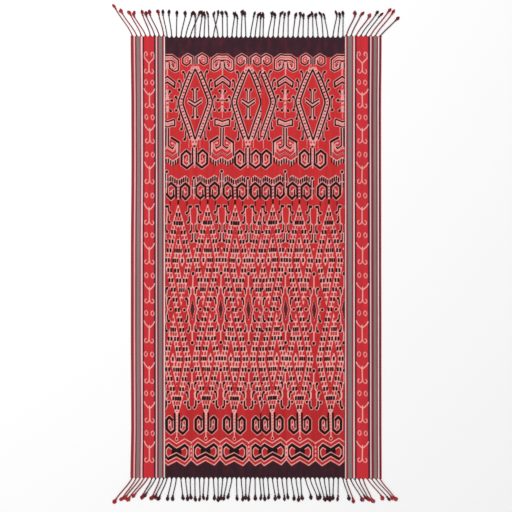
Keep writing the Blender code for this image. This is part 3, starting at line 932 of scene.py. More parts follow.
# The borders' small figures, down a border: the row of the rings, how much closer to them than
# usual the arms lie, and the row where the curls end.
Figure = namedtuple("Figure", "rings closer foot")
FIGURES = (
    Figure(82.7, 1.7, 108.2),
    Figure(117.5, 1.0, 143.6),
    Figure(154.8, 0.3, 184.1),
    Figure(195.6, 0.0, 225.0),
    Figure(235.3, 0.0, 264.5),
    Figure(275.7, 0.3, 303.5),
    Figure(313.4, 0.0, 343.2),
    Figure(354.5, 0.0, 383.6),
    Figure(393.7, -0.3, 422.9),
    Figure(433.4, -0.3, 462.6),
)
FIGURE_LINE = 1.15
CURL_LINE = 0.9

# The bundle at the middle of each border's figures, how wide their arms reach, and the row of the
# first one.
LEFT_STEM, LEFT_ARMS = 149.4, 5.6
RIGHT_STEM, RIGHT_ARMS = 362.3, 6.4
BORDER_TOP_ROW = 54.0


def border_foot(chart, v):
    """The two curls that a stem ends in."""
    curl = [(0, -4.0), (1.0, -1.6), (2.7, -0.4), (4.2, -1.2), (4.5, -3.0), (3.8, -4.5), (2.9, -4.5)]
    chart.line(PALE, [(a, v + b) for a, b in curl], CURL_LINE)


def border_figure(chart, u, figure, wide):
    """A pair of rings over a three pronged stem that ends in two small curls."""
    chart.at(u, figure.rings, BOTH)
    ring = [(3.1, -2.6), (4.6, -1.2), (4.6, 1.2), (3.1, 2.6), (1.7, 1.2), (1.7, -1.2), (3.1, -2.6)]
    chart.line(PALE, ring, 0.8)
    chart.at(u, figure.rings - figure.closer, BOTH)
    chart.line(PALE, [(0.92 * wide, 8.1), (0.7 * wide, 10.9), (0.3 * wide, 13.4), (0, 14.6)], FIGURE_LINE)
    foot = figure.foot + 0.4
    chart.at(u, 0, BOTH)
    chart.line(PALE, [(0, figure.rings - figure.closer + 12.1), (0, foot - 2.6)], FIGURE_LINE)
    border_foot(chart, foot)


def border_top(chart, u):
    """The first figure of a border, with its two curls turned in."""
    chart.at(u, BORDER_TOP_ROW, BOTH)
    curl = [(2.6, 2.2), (1.7, 0.4), (2.5, -1.7), (4.2, -1.5), (4.9, 1.0), (4.8, 4.4)]
    chart.line(PALE, curl, CURL_LINE)
    chart.line(PALE, [(4.8, 4.2), (0, 9.6)], FIGURE_LINE)
    chart.line(PALE, [(0, 9.4), (0, 17.6)], FIGURE_LINE)
    border_foot(chart, 20.2)


def border_chart(across, along, middle, wide):
    """The chart of one border. Its figures stand round the middle, and wide sets their arms."""
    chart = Chart(across, along, sway)
    border_top(chart, middle)
    for figure in FIGURES:
        border_figure(chart, middle, figure, wide)
    return chart


def left_border_chart(across, along):
    return border_chart(across, along, LEFT_STEM, LEFT_ARMS)


def right_border_chart(across, along):
    return border_chart(across, along, RIGHT_STEM, RIGHT_ARMS)


def blend(table, share, column):
    """A column of a table of drifts at each share, read between its rows with a smooth step."""
    value = np.full_like(share, getattr(table[-1], column))
    for above, below in reversed(list(zip(table, table[1:]))):
        part = np.clip((share - above.share) / (below.share - above.share), 0, 1)
        part = part * part * (3 - 2 * part)
        between = getattr(above, column) * (1 - part) + getattr(below, column) * part
        value = np.where(share <= below.share, between, value)
    return value


def edges_at(panel, share):
    """The panel's left and right edge at each share of its length from the top."""
    left = np.full_like(share, panel.left + SEAM_GAP / 2)
    right = np.full_like(share, panel.right - SEAM_GAP / 2)
    if panel.left == OUTER_LEFT:
        left += blend(EDGE_DRIFT, share, "left") - SEAM_GAP / 2
    if panel.right == OUTER_RIGHT:
        right += blend(EDGE_DRIFT, share, "right") + SEAM_GAP / 2
    return left, right


def swell(x, y):
    """How far the cloth's face rises over its even thickness, in long low waves."""
    across = np.sin(math.tau * x / WAVE_ACROSS + WAVE_BEND * np.sin(math.tau * y / WAVE_ALONG / 3))
    along = np.sin(math.tau * y / WAVE_ALONG + WAVE_BEND * np.sin(math.tau * x / WAVE_ACROSS / 3))
    return CLOTH_SWELL * (2 + across + along) / 4


def roots_of(panel, end):
    """The middles of the gathered roots along one end of a panel."""
    bunches = panel.top_bunches if end == "top" else panel.bottom_bunches
    left, right = (edge[0] for edge in edges_at(panel, np.array([0.0 if end == "top" else 1.0])))
    return np.linspace(left + ROOT_MARGIN, right - ROOT_MARGIN, sum(bunch.cords for bunch in bunches))


def pucker(panel, end, x):
    """How far the cloth's end is drawn in between its roots, from 0 at a root to 1 midway."""
    roots = roots_of(panel, end)
    pitch = roots[1] - roots[0]
    return 0.5 - 0.5 * np.cos(math.tau * (x - roots[0]) / pitch)


def cloth_points(panel, shares_u, shares_v):
    """The face and the underside of a panel at a grid of shares of its width and length."""
    u, v = np.meshgrid(shares_u, shares_v)
    left, right = edges_at(panel, v)
    x = left + (right - left) * u
    y = panel.top + (panel.bottom - panel.top) * v
    face = CLOTH_THICKNESS + swell(x, y)
    for end, edge, inward in (("top", panel.top, -1), ("bottom", panel.bottom, 1)):
        near = np.exp(-np.abs(y - edge) / END_FADE)
        drawn = pucker(panel, end, x)
        y = y + inward * END_PULL * drawn * near
        face = face + END_PUCKER * (1 - drawn) * near
    rim = np.minimum(np.minimum(x - left, right - x), np.minimum(panel.top - y, y - panel.bottom))
    face = face - EDGE_ROUNDING * np.exp(-np.maximum(rim, 0) / ROUNDING_FADE)
    under = UNDER_ROUNDING * np.exp(-np.maximum(rim, 0) / UNDER_FADE)
    x, y = x + SHIFT_X, y + SHIFT_Y
    return np.stack((x, y, face), axis=-1), np.stack((x, y, under), axis=-1)


def grid_faces(numbers, turned):
    """The quads of a grid of point numbers, facing up, or down if turned."""
    corners = (numbers[1:, :-1], numbers[1:, 1:], numbers[:-1, 1:], numbers[:-1, :-1])
    quads = np.stack([corner.ravel() for corner in corners], axis=1)
    return (quads[:, ::-1] if turned else quads).tolist()


def wall_faces(top, under):
    """The faces between an edge of the face and the coarser edge of the underside below it."""
    return [
        (top[2 * i], top[2 * i + 1], top[2 * i + 2], under[i + 1], under[i])
        for i in range(len(under) - 1)
    ]


def cloth_mesh(panel, columns, rows):
    """A closed sheet with a fine grid on its face and every second line of it on its underside."""
    shares_u, shares_v = np.linspace(0, 1, columns + 1), np.linspace(0, 1, rows + 1)
    face, under = cloth_points(panel, shares_u, shares_v)
    under = under[::2, ::2]
    top_numbers = np.arange(face.shape[0] * face.shape[1]).reshape(face.shape[:2])
    under_numbers = top_numbers.size + np.arange(under.shape[0] * under.shape[1]).reshape(under.shape[:2])
    faces = grid_faces(top_numbers, False) + grid_faces(under_numbers, True)
    walls = (
        wall_faces(top_numbers[:, 0].tolist(), under_numbers[:, 0].tolist()),
        wall_faces(top_numbers[-1].tolist(), under_numbers[-1].tolist()),
        wall_faces(top_numbers[::-1, -1].tolist(), under_numbers[::-1, -1].tolist()),
        wall_faces(top_numbers[0, ::-1].tolist(), under_numbers[0, ::-1].tolist()),
    )
    for wall in walls:
        faces += wall
    mesh = bpy.data.meshes.new(panel.name + "_cloth")
    points = np.concatenate((face.reshape(-1, 3), under.reshape(-1, 3)))
    mesh.from_pydata(points, [], faces)
    lay_out(mesh, shares_u, shares_v, [len(wall) for wall in walls])
    return mesh


def lay_out(mesh, shares_u, shares_v, wall_sizes):
    """Lays the face on one half of the bake map, the underside on the other and the rim between."""
    u, v = np.meshgrid(shares_u, shares_v)
    face = np.stack((FACE_LEFT + HALF_WIDE * u, 1 - v), -1)
    under = np.stack((UNDER_LEFT + HALF_WIDE * u, 1 - v), -1)[::2, ::2]
    flat = np.concatenate((face.reshape(-1, 2), under.reshape(-1, 2)))
    corners = np.empty(len(mesh.loops), np.int32)
    mesh.loops.foreach_get("vertex_index", corners)
    places = flat[corners]
    walls = len(mesh.polygons) - sum(wall_sizes)
    start = mesh.polygons[walls].loop_start
    corner_levels = (0, 0, 0, 1, 1)
    for side, count in enumerate(wall_sizes):
        stop = start + len(corner_levels) * count
        along_wall = places[start:stop, 1] if side % 2 == 0 else places[start:stop, 0] * 2 % 1
        is_under = np.tile(corner_levels, count)
        strip = WALLS_LEFT + WALL_STEP * side + WALL_WIDE * is_under
        places[start:stop] = np.stack((strip, along_wall), -1)
        start = stop
    layer = mesh.uv_layers.new(name="OFBake")
    layer.data.foreach_set("uv", places.astype(np.float32).ravel())


def store(mesh, name, kind, values):
    """Stores one value for each point of a mesh."""
    attribute = mesh.attributes.new(name, kind, "POINT")
    key = "vector" if kind == "FLOAT_VECTOR" else "value"
    attribute.data.foreach_set(key, np.ascontiguousarray(values, np.float32).ravel())


def new_piece(mesh, material, cad_nodes, slot):
    """Puts a finished mesh in the scene in place of its CAD nodes."""
    mesh.materials.append(material)
    piece = bpy.data.objects.new(mesh.name, mesh)
    bpy.context.scene.collection.objects.link(piece)
    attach(piece, "root")
    if cad_nodes:
        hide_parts(*cad_nodes)
    return piece


def soften(mesh, degrees):
    """Shades a mesh smooth, apart from edges sharper than this."""
    mesh.shade_smooth()
    mesh.set_sharp_from_angle(angle=math.radians(degrees))


def weave_cloth(panel, cell_width, cell_length, draw_chart, material, slot):
    """One woven width with its chart stored on both faces."""
    columns = 2 * round((panel.right - panel.left) / cell_width / 2)
    rows = 2 * round((panel.top - panel.bottom) / cell_length / 2)
    mesh = cloth_mesh(panel, columns, rows)
    across = CHART_MIDDLE + np.linspace(panel.left, panel.right, columns + 1) / BUNDLE
    along = CHART_WAIST - np.linspace(panel.top, panel.bottom, rows + 1) / BUNDLE
    tones = np.moveaxis(draw_chart(across, along).tones, 0, -1)
    both = np.concatenate((tones.reshape(-1, 3), tones[::2, ::2].reshape(-1, 3)))
    store(mesh, "chart", "FLOAT_VECTOR", both)
    place = np.broadcast_to(np.linspace(0, 1, columns + 1), tones.shape[:2])
    store(mesh, "across", "FLOAT", np.concatenate((place.ravel(), place[::2, ::2].ravel())))
    soften(mesh, CLOTH_SHARP)
    return new_piece(mesh, material, [panel.name], slot)


def cord_curve(root, tip, outward):
    """The four handles of a cord's course on the floor: it leaves its end squarely, then leans."""
    lean = tip.x - root.x
    reach = abs(tip.y - root.y)
    slant = min(1.0, abs(lean) / reach)
    ahead = outward * reach * HANDLE_REACH
    first = Vector((lean * (ROOT_HANDLE_LEAN + SLANT_LEAN * slant), ahead, 0))
    second = Vector((lean * (TIP_HANDLE_LEAN + SLANT_LEAN * slant), ahead, 0))
    return root, root + first, tip - second, tip


def on_curve(handles, t):
    """A point of a cubic curve and its direction there."""
    a, b, c, d = handles
    s = 1 - t
    point = a * s**3 + b * 3 * s * s * t + c * 3 * s * t * t + d * t**3
    slope = (b - a) * 3 * s * s + (c - b) * 6 * s * t + (d - c) * 3 * t * t
    return point, slope.normalized()


def curve_length(handles, steps=24):
    """The length of a cord's course."""
    points = [on_curve(handles, i / steps)[0] for i in range(steps + 1)]
    return sum((b - a).length for a, b in zip(points, points[1:]))


def cords_of(panel, end):
    """The cords of one end of a panel: root, course, lift and dye."""
    at_top = end == "top"
    bunches = panel.top_bunches if at_top else panel.bottom_bunches
    dyes = panel.top_dye if at_top else panel.bottom_dye
    outward = 1 if at_top else -1
    edge = (panel.top if at_top else panel.bottom) + SHIFT_Y
    roots = [float(x) + SHIFT_X for x in roots_of(panel, end)]
    cords = []
    for bunch in bunches:
        members = roots[len(cords) : len(cords) + bunch.cords]
        middle = sum(members) / bunch.cords
        for i, x in enumerate(members):
            tip_x = middle + bunch.lean + bunch.draw * (x - middle)
            stagger = TIP_STAGGER * (i % 2) if bunch.draw < 1 else 0.0
            root = Vector((x, edge, 0))
            tip = Vector((tip_x, edge + outward * (bunch.reach - stagger), 0))
            lift = CROSSING_LIFT if bunch.draw < 0 and i % 2 else 0.0
            cords.append(Cord(x, cord_curve(root, tip, outward), lift, dyes[len(cords)]))
    return cords


class YarnPile:
    """Collects the rings of many yarns, and makes one mesh of them."""

    def __init__(self):
        self.points, self.faces, self.dyes, self.count = [], [], [], 0

    def yarn(self, course, radii, sides, dye, closed=False):
        """A round yarn along a course, with a pointed cap at each end unless it is closed."""
        course = np.asarray(course, float)
        ahead = np.roll(course, -1, 0) - np.roll(course, 1, 0)
        if not closed:
            ahead[0], ahead[-1] = course[1] - course[0], course[-1] - course[-2]
        ahead /= np.linalg.norm(ahead, axis=1)[:, None]
        side = np.cross(ahead, (0.0, 0.0, 1.0)) + np.array((1e-6, 0, 0))
        side /= np.linalg.norm(side, axis=1)[:, None]
        up = np.cross(side, ahead)
        turn = np.arange(sides) * math.tau / sides
        radii = np.broadcast_to(np.asarray(radii, float), len(course))
        ring = side[:, None] * np.cos(turn)[None, :, None] + up[:, None] * np.sin(turn)[None, :, None]
        rings = course[:, None] + ring * radii[:, None, None]
        self.add_rings(rings.reshape(-1, 3), len(course), sides, dye, closed)

    def add_rings(self, points, rings, sides, dye, closed):
        """Joins rings of points into one tube."""
        self.points.append(points)
        self.dyes.append(np.full(len(points), dye))
        last = rings if closed else rings - 1
        for ring in range(last):
            here, there = self.count + ring * sides, self.count + (ring + 1) % rings * sides
            for i in range(sides):
                j = (i + 1) % sides
                self.faces.append((here + i, here + j, there + j, there + i))
        if not closed:
            self.faces.append(tuple(self.count + i for i in reversed(range(sides))))
            self.faces.append(tuple(self.count + (rings - 1) * sides + i for i in range(sides)))
        self.count += len(points)

    def mesh(self, name):
        """One mesh of all the yarns, with the dye of each."""
        mesh = bpy.data.meshes.new(name)
        mesh.from_pydata(np.concatenate(self.points), [], self.faces)
        store(mesh, "dye", "FLOAT", np.concatenate(self.dyes))
        soften(mesh, YARN_SHARP)
        return mesh


def ply_dyes(cord, chance):
    """The shares of red of a cord's two plies: near 0 dark, near 1 red."""
    base = {"r": (0.95, 0.85), "d": (0.08, 0.02), "m": (0.85, 0.08)}[cord.dye]
    return [min(1.0, max(0.0, value + chance.uniform(-0.07, 0.07))) for value in base]


def cord_point(cord, along, length):
    """The middle of a cord at a distance along it, with its direction on the floor."""
    t = along / length
    point, slope = on_curve(cord.handles, t)
    raised = cord.lift * max(0.0, math.sin(math.pi * min(1.0, t / LIFT_END))) ** LIFT_FULLNESS
    point.z = raised + CORD_RADIUS
    return np.array(point), np.array((slope.x, slope.y, 0.0))


def twist_cord(pile, cord, length, settings, dyes, chance):
    """Two plies laid round each other, from the gathered root to the knot."""
    start, stop = PLY_START, length - KNOT_FROM_TIP
    rings = round((stop - start) / settings.lay * settings.rings_per_turn)
    phase = chance.uniform(0, math.tau)
    size = RED_CORD_SIZE if cord.dye != "d" else 1.0
    offset = (CORD_RADIUS - settings.ply_radius) * size
    lifted = np.array((0, 0, CORD_RADIUS * (size - 1)))
    for ply, dye in enumerate(dyes):
        course = []
        for ring in range(rings + 1):
            along = start + (stop - start) * ring / rings
            middle, slope = cord_point(cord, along, length)
            angle = phase + math.pi * ply + math.tau * (along - start) / settings.lay
            side = np.array((slope[1], -slope[0], 0.0))
            above = np.array((0, 0, offset * math.sin(angle)))
            course.append(middle + lifted + side * offset * math.cos(angle) + above)
        pile.yarn(course, settings.ply_radius * size, PLY_SIDES, dye * PLY_DEPTH)


def gather_root(pile, cord, length, pitch, dyes, chance):
    """The warp ends that run together from the cloth's end into the root of a cord."""
    outward = 1 if cord.handles[3].y > cord.handles[0].y else -1
    foot = cord_point(cord, ROOT_LENGTH, length)[0]
    for i in range(ROOT_YARNS):
        share = 2 * i / (ROOT_YARNS - 1) - 1
        side = share * pitch * ROOT_SPREAD
        edge_y = cord.handles[0].y - outward * (ROOT_INSET + END_PULL * abs(share) ** 2)
        course = []
        for step in ROOT_STEPS:
            spread = (1 - step) ** ROOT_GATHER * side + step * share * ROOT_WAIST
            y = edge_y + (foot[1] - edge_y) * step
            x = cord.root_x + (foot[0] - cord.root_x) * step**2 + spread
            course.append((x, y, ROOT_LEVEL + ROOT_RISE * step + ROOT_OVERLAP * (i % 2)))
        pile.yarn(course, ROOT_RADII, 3, dyes[i % 2] + chance.uniform(-0.05, 0.05))


def tie_knot(pile, cord, length, dyes, chance):
    """The overhand knot near a cord's tip."""
    middle, slope = cord_point(cord, length - KNOT_FROM_TIP, length)
    middle[2] += KNOT_RISE
    side = np.array((slope[1], -slope[0], 0.0))
    turned = chance.uniform(0, math.tau)
    size = chance.uniform(0.95, 1.15)
    course = []
    for step in range(KNOT_STEPS):
        a = math.tau * step / KNOT_STEPS
        ring = (KNOT_RADIUS + KNOT_LOOP * math.cos(3 * a)) * size
        across = side * ring * math.cos(2 * a + turned)
        above = np.array((0, 0, KNOT_FLATNESS * ring * math.sin(2 * a + turned)))
        course.append(middle + across + above + slope * KNOT_REACH * size * math.sin(3 * a))
    pile.yarn(course, KNOT_YARN, 6, dyes[0], closed=True)
    core = [middle + slope * along for along in CORE_PLACES]
    pile.yarn(core, CORE_RADII, 6, dyes[1])


def brush_tip(pile, cord, length, settings, dyes, chance):
    """The loose yarns beyond a knot, in one full brush or in two locks that part."""
    foot, slope = cord_point(cord, length - KNOT_FROM_TIP + TUFT_INSET, length)
    side = np.array((slope[1], -slope[0], 0.0))
    reach = KNOT_FROM_TIP - TUFT_INSET
    at_top = slope[1] > 0
    stout = RED_TUFT_SIZE if cord.dye != "d" else 1.0
    parting = chance.uniform(*PARTING) if at_top and chance.uniform() < PARTED_SHARE else 0.0
    most_lean, fullness = (TOP_TUFT_LEAN, TOP_FULLNESS) if at_top else (BOTTOM_TUFT_LEAN, BOTTOM_FULLNESS)
    lean = chance.uniform(-most_lean, most_lean)
    full = settings.brush_width / 2 * chance.uniform(0.75, 1.1) * fullness * stout
    locks = (chance.uniform(0.7, 0.95), 1.0)
    for i in range(settings.brush_yarns):
        share = 2 * (i + chance.uniform(0.15, 0.85)) / settings.brush_yarns - 1
        long = reach * chance.uniform(0.88, 1.0) * (1 - 0.2 * share * share)
        if parting:
            long *= locks[i % 2]
        bow = chance.uniform(-TUFT_BOW, TUFT_BOW)
        high = chance.uniform(TUFT_FLOOR, TUFT_HIGH) * (1 - 0.45 * abs(share))
        course = []
        for step in TUFT_STEPS:
            bulge = 0.14 + 1.05 * math.sin(math.pi * (0.03 + 0.73 * step)) ** 1.3
            across = full * share * bulge + lean * long * step + bow * math.sin(math.pi * step * 1.4)
            across += parting * long * step * (1 if i % 2 else -1)
            level = foot[2] * (1 - step) ** 1.5 + high * (1 - (1 - step) ** 1.5) * (1.1 - 0.6 * step)
            point = foot + slope * long * step + side * across
            course.append((point[0], point[1], max(TUFT_FLOOR, level)))
        dye = dyes[i % 2] + chance.uniform(0.0, 0.34)
        pile.yarn(course, TUFT_RADII, 3, dye)


def fringe_piece(panel, end, settings, material, slot):
    """All the cords of one end of a panel, as one piece."""
    chance = np.random.default_rng(len(panel.name) * 17 + len(end))
    pile = YarnPile()
    roots = roots_of(panel, end)
    pitch = float(roots[1] - roots[0])
    for cord in cords_of(panel, end):
        length = curve_length(cord.handles)
        dyes = ply_dyes(cord, chance)
        gather_root(pile, cord, length, pitch, dyes, chance)
        twist_cord(pile, cord, length, settings, dyes, chance)
        tie_knot(pile, cord, length, dyes, chance)
        brush_tip(pile, cord, length, settings, dyes, chance)
    name = f"{panel.name}_{end}_cords"
    return new_piece(pile.mesh(name), material, [f"{panel.name}_{end}_fringe"], slot)


def seam_piece(name, x, settings, material):
    """The small whipped stitches that hold two woven widths together."""
    pile = YarnPile()
    chance = np.random.default_rng(round(abs(x) * 1000))
    for i in range(round(2 * SEAM_REACH / settings.stitch_spacing)):
        wander = chance.uniform(-STITCH_WANDER, STITCH_WANDER)
        y = SEAM_REACH - (i + 0.5) * settings.stitch_spacing + wander
        course = []
        for step in STITCH_STEPS:
            rise = CLOTH_THICKNESS + STITCH_CLEAR + STITCH_HIGH * math.cos(math.pi * step / 2)
            wide = settings.stitch_length / 2 * step
            height = rise + float(swell(np.array(x), np.array(y))) - STITCH_DIP * abs(step) ** 3
            course.append((x + SHIFT_X + wide, y + SHIFT_Y - wide * STITCH_SLANT, height))
        pile.yarn(course, settings.thread_radius, 4, chance.uniform(0.2, 0.5))
    return new_piece(pile.mesh(name), material, [], "border_cloth")


# How rough and how sheeny a cotton is, and how much its relief shows.
CLOTH_ROUGHNESS = 0.86
CORD_ROUGHNESS = 0.8
SPECULAR_LEVEL = 0.12
SHEEN = 0.03
SHEEN_ROUGHNESS = 0.6
RELIEF_STRENGTH = 0.5
WEAVE_RELIEF = 0.00025
CORD_RELIEF = 0.0003

# How much a colour changes for each metre along the shawl, from its upper to its lower end.
FADE_ALONG = 0.32

# How fine streaks of colour and of relief are: how many in a metre across, along and upwards.
EDGE_STREAKS = (1100, 70, 1)
FINE_STREAKS = (900, 24, 1)
BROAD_STREAKS = (70, 2.2, 1)
GROUND_STREAKS = (26, 1.1, 1)
BAND_MOTTLE = (46, 17, 1)
STRIPE_WANDER = (60, 9, 1)
WEAVE_GRAIN = (1400, 160, 1)
CORD_MOTTLE = (700, 700, 700)
CORD_GRAIN = (2200, 2200, 2200)


def new_node(tree, kind, **settings):
    """Adds a node of a kind with its settings."""
    made = tree.nodes.new(kind)
    for name, value in settings.items():
        setattr(made, name, value)
    return made


def new_group(name, inputs, outputs):
    """A node group with named sockets, given as name and kind pairs. Inputs have defaults."""
    tree = bpy.data.node_groups.new(name, "ShaderNodeTree")
    for label, kind, value in inputs:
        socket = tree.interface.new_socket(label, in_out="INPUT", socket_type=kind)
        socket.default_value = value
    for label, kind in outputs:
        tree.interface.new_socket(label, in_out="OUTPUT", socket_type=kind)
    return tree, new_node(tree, "NodeGroupInput"), new_node(tree, "NodeGroupOutput")


def math_node(tree, operation, *values, clamp=False):
    """Puts out what an operation makes of values or sockets."""
    made = new_node(tree, "ShaderNodeMath", operation=operation, use_clamp=clamp)
    for socket, value in zip(made.inputs, values):
        if isinstance(value, (int, float)):
            socket.default_value = value
        else:
            tree.links.new(value, socket)
    return made.outputs[0]


def mix_colour(tree, factor, first, second, blend_type="MIX"):
    """Puts out two colours or sockets mixed by a factor."""
    made = new_node(tree, "ShaderNodeMix", data_type="RGBA", blend_type=blend_type)
    for socket, value in ((made.inputs[0], factor), (made.inputs[6], first), (made.inputs[7], second)):
        if isinstance(value, bpy.types.NodeSocket):
            tree.links.new(value, socket)
        else:
            socket.default_value = value
    return made.outputs[2]


def streaks(tree, scale, detail=2.0):
    """Noise stretched over the piece's own metres, around 0.5."""
    place = new_node(tree, "ShaderNodeTexCoord")
    stretch = new_node(tree, "ShaderNodeMapping")
    stretch.inputs["Scale"].default_value = scale
    tree.links.new(place.outputs["Object"], stretch.inputs["Vector"])
    noise = new_node(tree, "ShaderNodeTexNoise")
    noise.inputs["Scale"].default_value = 1.0
    noise.inputs["Detail"].default_value = detail
    tree.links.new(stretch.outputs["Vector"], noise.inputs["Vector"])
    return noise.outputs["Fac"]


def tied_edge_group():
    """Turns a distance from the chart into a mask with the feathered edge of tied warp."""
    inputs = (
        ("Distance", "NodeSocketFloat", 1.0),
        ("Feather", "NodeSocketFloat", 0.5),
        ("Softness", "NodeSocketFloat", 0.3),
    )
    tree, given, result = new_group("Tied Warp Edge", inputs, (("Mask", "NodeSocketFloat"),))
    shift = math_node(tree, "SUBTRACT", streaks(tree, EDGE_STREAKS), 0.5)
    shift = math_node(tree, "MULTIPLY", shift, given.outputs["Feather"])
    distance = math_node(tree, "ADD", given.outputs["Distance"], shift)
    distance = math_node(tree, "DIVIDE", distance, given.outputs["Softness"])
    mask = math_node(tree, "SUBTRACT", 0.5, distance, clamp=True)
    tree.links.new(mask, result.inputs["Mask"])
    return tree


def uneven_dye_group():
    """Varies a colour along the warp, as yarn by yarn it took up more or less of the dye."""
    inputs = (
        ("Color", "NodeSocketColor", (0.5, 0.5, 0.5, 1)),
        ("Depth", "NodeSocketFloat", 0.2),
    )
    tree, given, result = new_group("Uneven Dye", inputs, (("Color", "NodeSocketColor"),))
    fine = streaks(tree, FINE_STREAKS)
    broad = streaks(tree, BROAD_STREAKS, detail=3.0)
    both = math_node(tree, "ADD", fine, broad)
    level = math_node(tree, "MULTIPLY", math_node(tree, "SUBTRACT", both, 1.0), given.outputs["Depth"])
    level = math_node(tree, "ADD", math_node(tree, "MULTIPLY", level, 2.0), 1.0)
    shade = new_node(tree, "ShaderNodeCombineColor")
    for socket in shade.inputs[:3]:
        tree.links.new(level, socket)
    mixed = mix_colour(tree, 1.0, given.outputs["Color"], shade.outputs[0], "MULTIPLY")
    tree.links.new(mixed, result.inputs["Color"])
    return tree


def warp_faced_group():
    """The height of a warp faced weave: fine ribs along the warp, crossed by the weft."""
    inputs = (("Rib Spacing", "NodeSocketFloat", 0.0011), ("Pick Spacing", "NodeSocketFloat", 0.0016))
    tree, given, result = new_group("Warp Faced Weave", inputs, (("Height", "NodeSocketFloat"),))
    place = new_node(tree, "ShaderNodeTexCoord")
    split = new_node(tree, "ShaderNodeSeparateXYZ")
    tree.links.new(place.outputs["Object"], split.inputs[0])
    waves = []
    for axis, spacing in (("X", "Rib Spacing"), ("Y", "Pick Spacing")):
        phase = math_node(tree, "DIVIDE", split.outputs[axis], given.outputs[spacing])
        waves.append(math_node(tree, "SINE", math_node(tree, "MULTIPLY", phase, math.tau)))
    ribs = math_node(tree, "MULTIPLY", waves[0], 0.6)
    picks = math_node(tree, "MULTIPLY", waves[1], 0.25)
    height = math_node(tree, "ADD", math_node(tree, "ADD", ribs, picks), streaks(tree, WEAVE_GRAIN))
    tree.links.new(height, result.inputs["Height"])
    return tree


def use_group(tree, group, **values):
    """Places a node group in a material with its own values."""
    made = new_node(tree, "ShaderNodeGroup", node_tree=group)
    for name, value in values.items():
        socket = made.inputs[name.replace("_", " ")]
        if isinstance(value, bpy.types.NodeSocket):
            tree.links.new(value, socket)
        else:
            socket.default_value = value
    return made


def cotton(name, roughness=CLOTH_ROUGHNESS):
    """A matte cotton without its colour."""
    material = bpy.data.materials.new(name)
    material.use_nodes = True
    shader = material.node_tree.nodes["Principled BSDF"]
    shader.inputs["Roughness"].default_value = roughness
    shader.inputs["Specular IOR Level"].default_value = SPECULAR_LEVEL
    shader.inputs["Sheen Weight"].default_value = SHEEN
    shader.inputs["Sheen Roughness"].default_value = SHEEN_ROUGHNESS
    return material, material.node_tree, shader


def raise_height(tree, shader, height, distance):
    """Feeds a height to the shader's normal."""
    bump = new_node(tree, "ShaderNodeBump")
    bump.inputs["Strength"].default_value = RELIEF_STRENGTH
    bump.inputs["Distance"].default_value = distance
    tree.links.new(height, bump.inputs["Height"])
    tree.links.new(bump.outputs["Normal"], shader.inputs["Normal"])


def attribute_of(tree, name):
    return new_node(tree, "ShaderNodeAttribute", attribute_name=name)


def towards_foot(tree, share):
    """Adds to a share towards the shawl's lower end, and takes from it towards its upper end."""
    split = new_node(tree, "ShaderNodeSeparateXYZ")
    tree.links.new(new_node(tree, "ShaderNodeTexCoord").outputs["Object"], split.inputs[0])
    rise = math_node(tree, "MULTIPLY", split.outputs["Y"], FADE_ALONG)
    return math_node(tree, "SUBTRACT", share, rise, clamp=True)


def charted(tree, ground, groups, settings):
    """Lays the chart's tones over a ground colour."""
    chart = new_node(tree, "ShaderNodeSeparateXYZ")
    tree.links.new(attribute_of(tree, "chart").outputs["Vector"], chart.inputs[0])
    mottle = streaks(tree, BAND_MOTTLE, detail=4.0)
    mottle = math_node(tree, "MULTIPLY", math_node(tree, "SUBTRACT", mottle, 0.46), 4.0, clamp=True)
    dark = mix_colour(tree, mottle, rgba(settings.band_colour), rgba(settings.band_red))
    dark = mix_colour(tree, towards_foot(tree, 0.02), dark, rgba(settings.ink_colour))
    pale = mix_colour(tree, towards_foot(tree, 0.5), rgba(settings.pale_worn), rgba(settings.pale_colour))
    colour = ground
    layers = (("Z", dark, 0.9), ("X", pale, 0.45), ("Y", rgba(settings.ink_colour), 0.45))
    for axis, tone, feather in layers:
        mask = use_group(tree, groups["edge"], Distance=chart.outputs[axis], Feather=feather).outputs["Mask"]
        colour = mix_colour(tree, mask, colour, tone)
    return colour


def rgba(colour):
    return (*colour, 1.0)


def finish_cloth(tree, shader, colour, groups, settings):
    """Gives a cloth its uneven dye and its weave."""
    dyed = use_group(tree, groups["dye"], Color=colour, Depth=settings.dye_depth)
    tree.links.new(dyed.outputs["Color"], shader.inputs["Base Color"])
    weave = use_group(tree, groups["weave"])
    raise_height(tree, shader, weave.outputs["Height"], WEAVE_RELIEF)


def panel_cotton(groups, settings):
    """The red ground of the patterned widths under their charted tones."""
    material, tree, shader = cotton("ikat_cotton")
    deeper = towards_foot(tree, streaks(tree, GROUND_STREAKS, detail=3.0))
    ground = mix_colour(tree, deeper, rgba(settings.ground_colour), rgba(settings.ground_deep))
    finish_cloth(tree, shader, charted(tree, ground, groups, settings), groups, settings)
    return material


# The warp stripes of the two borders: where each begins, in bundles, and its yarn.
LEFT_STRIPES = (
    (131.0, "deep"), (133.95, "pink"), (135.2, "wine"), (136.8, "grey"), (139.75, "deep"), (140.95, "pink"),
    (141.8, "pale"), (142.75, "black"), (143.9, "red"), (154.05, "plum"), (155.85, "pale"), (157.05, "wine"),
    (158.9, "grey"), (161.9, "deep"), (163.75, "white"), (164.95, "black"),
)
RIGHT_STRIPES = (
    (344.0, "black"), (344.85, "pale"), (346.05, "deep"), (348.1, "grey"), (351.6, "deep"), (353.1, "pink"),
    (353.8, "pale"), (354.75, "black"), (356.2, "red"), (367.9, "plum"), (369.9, "pale"), (371.2, "wine"),
    (373.6, "grey"), (376.3, "deep"), (377.75, "white"), (379.0, "plum"), (380.5, "red"),
)


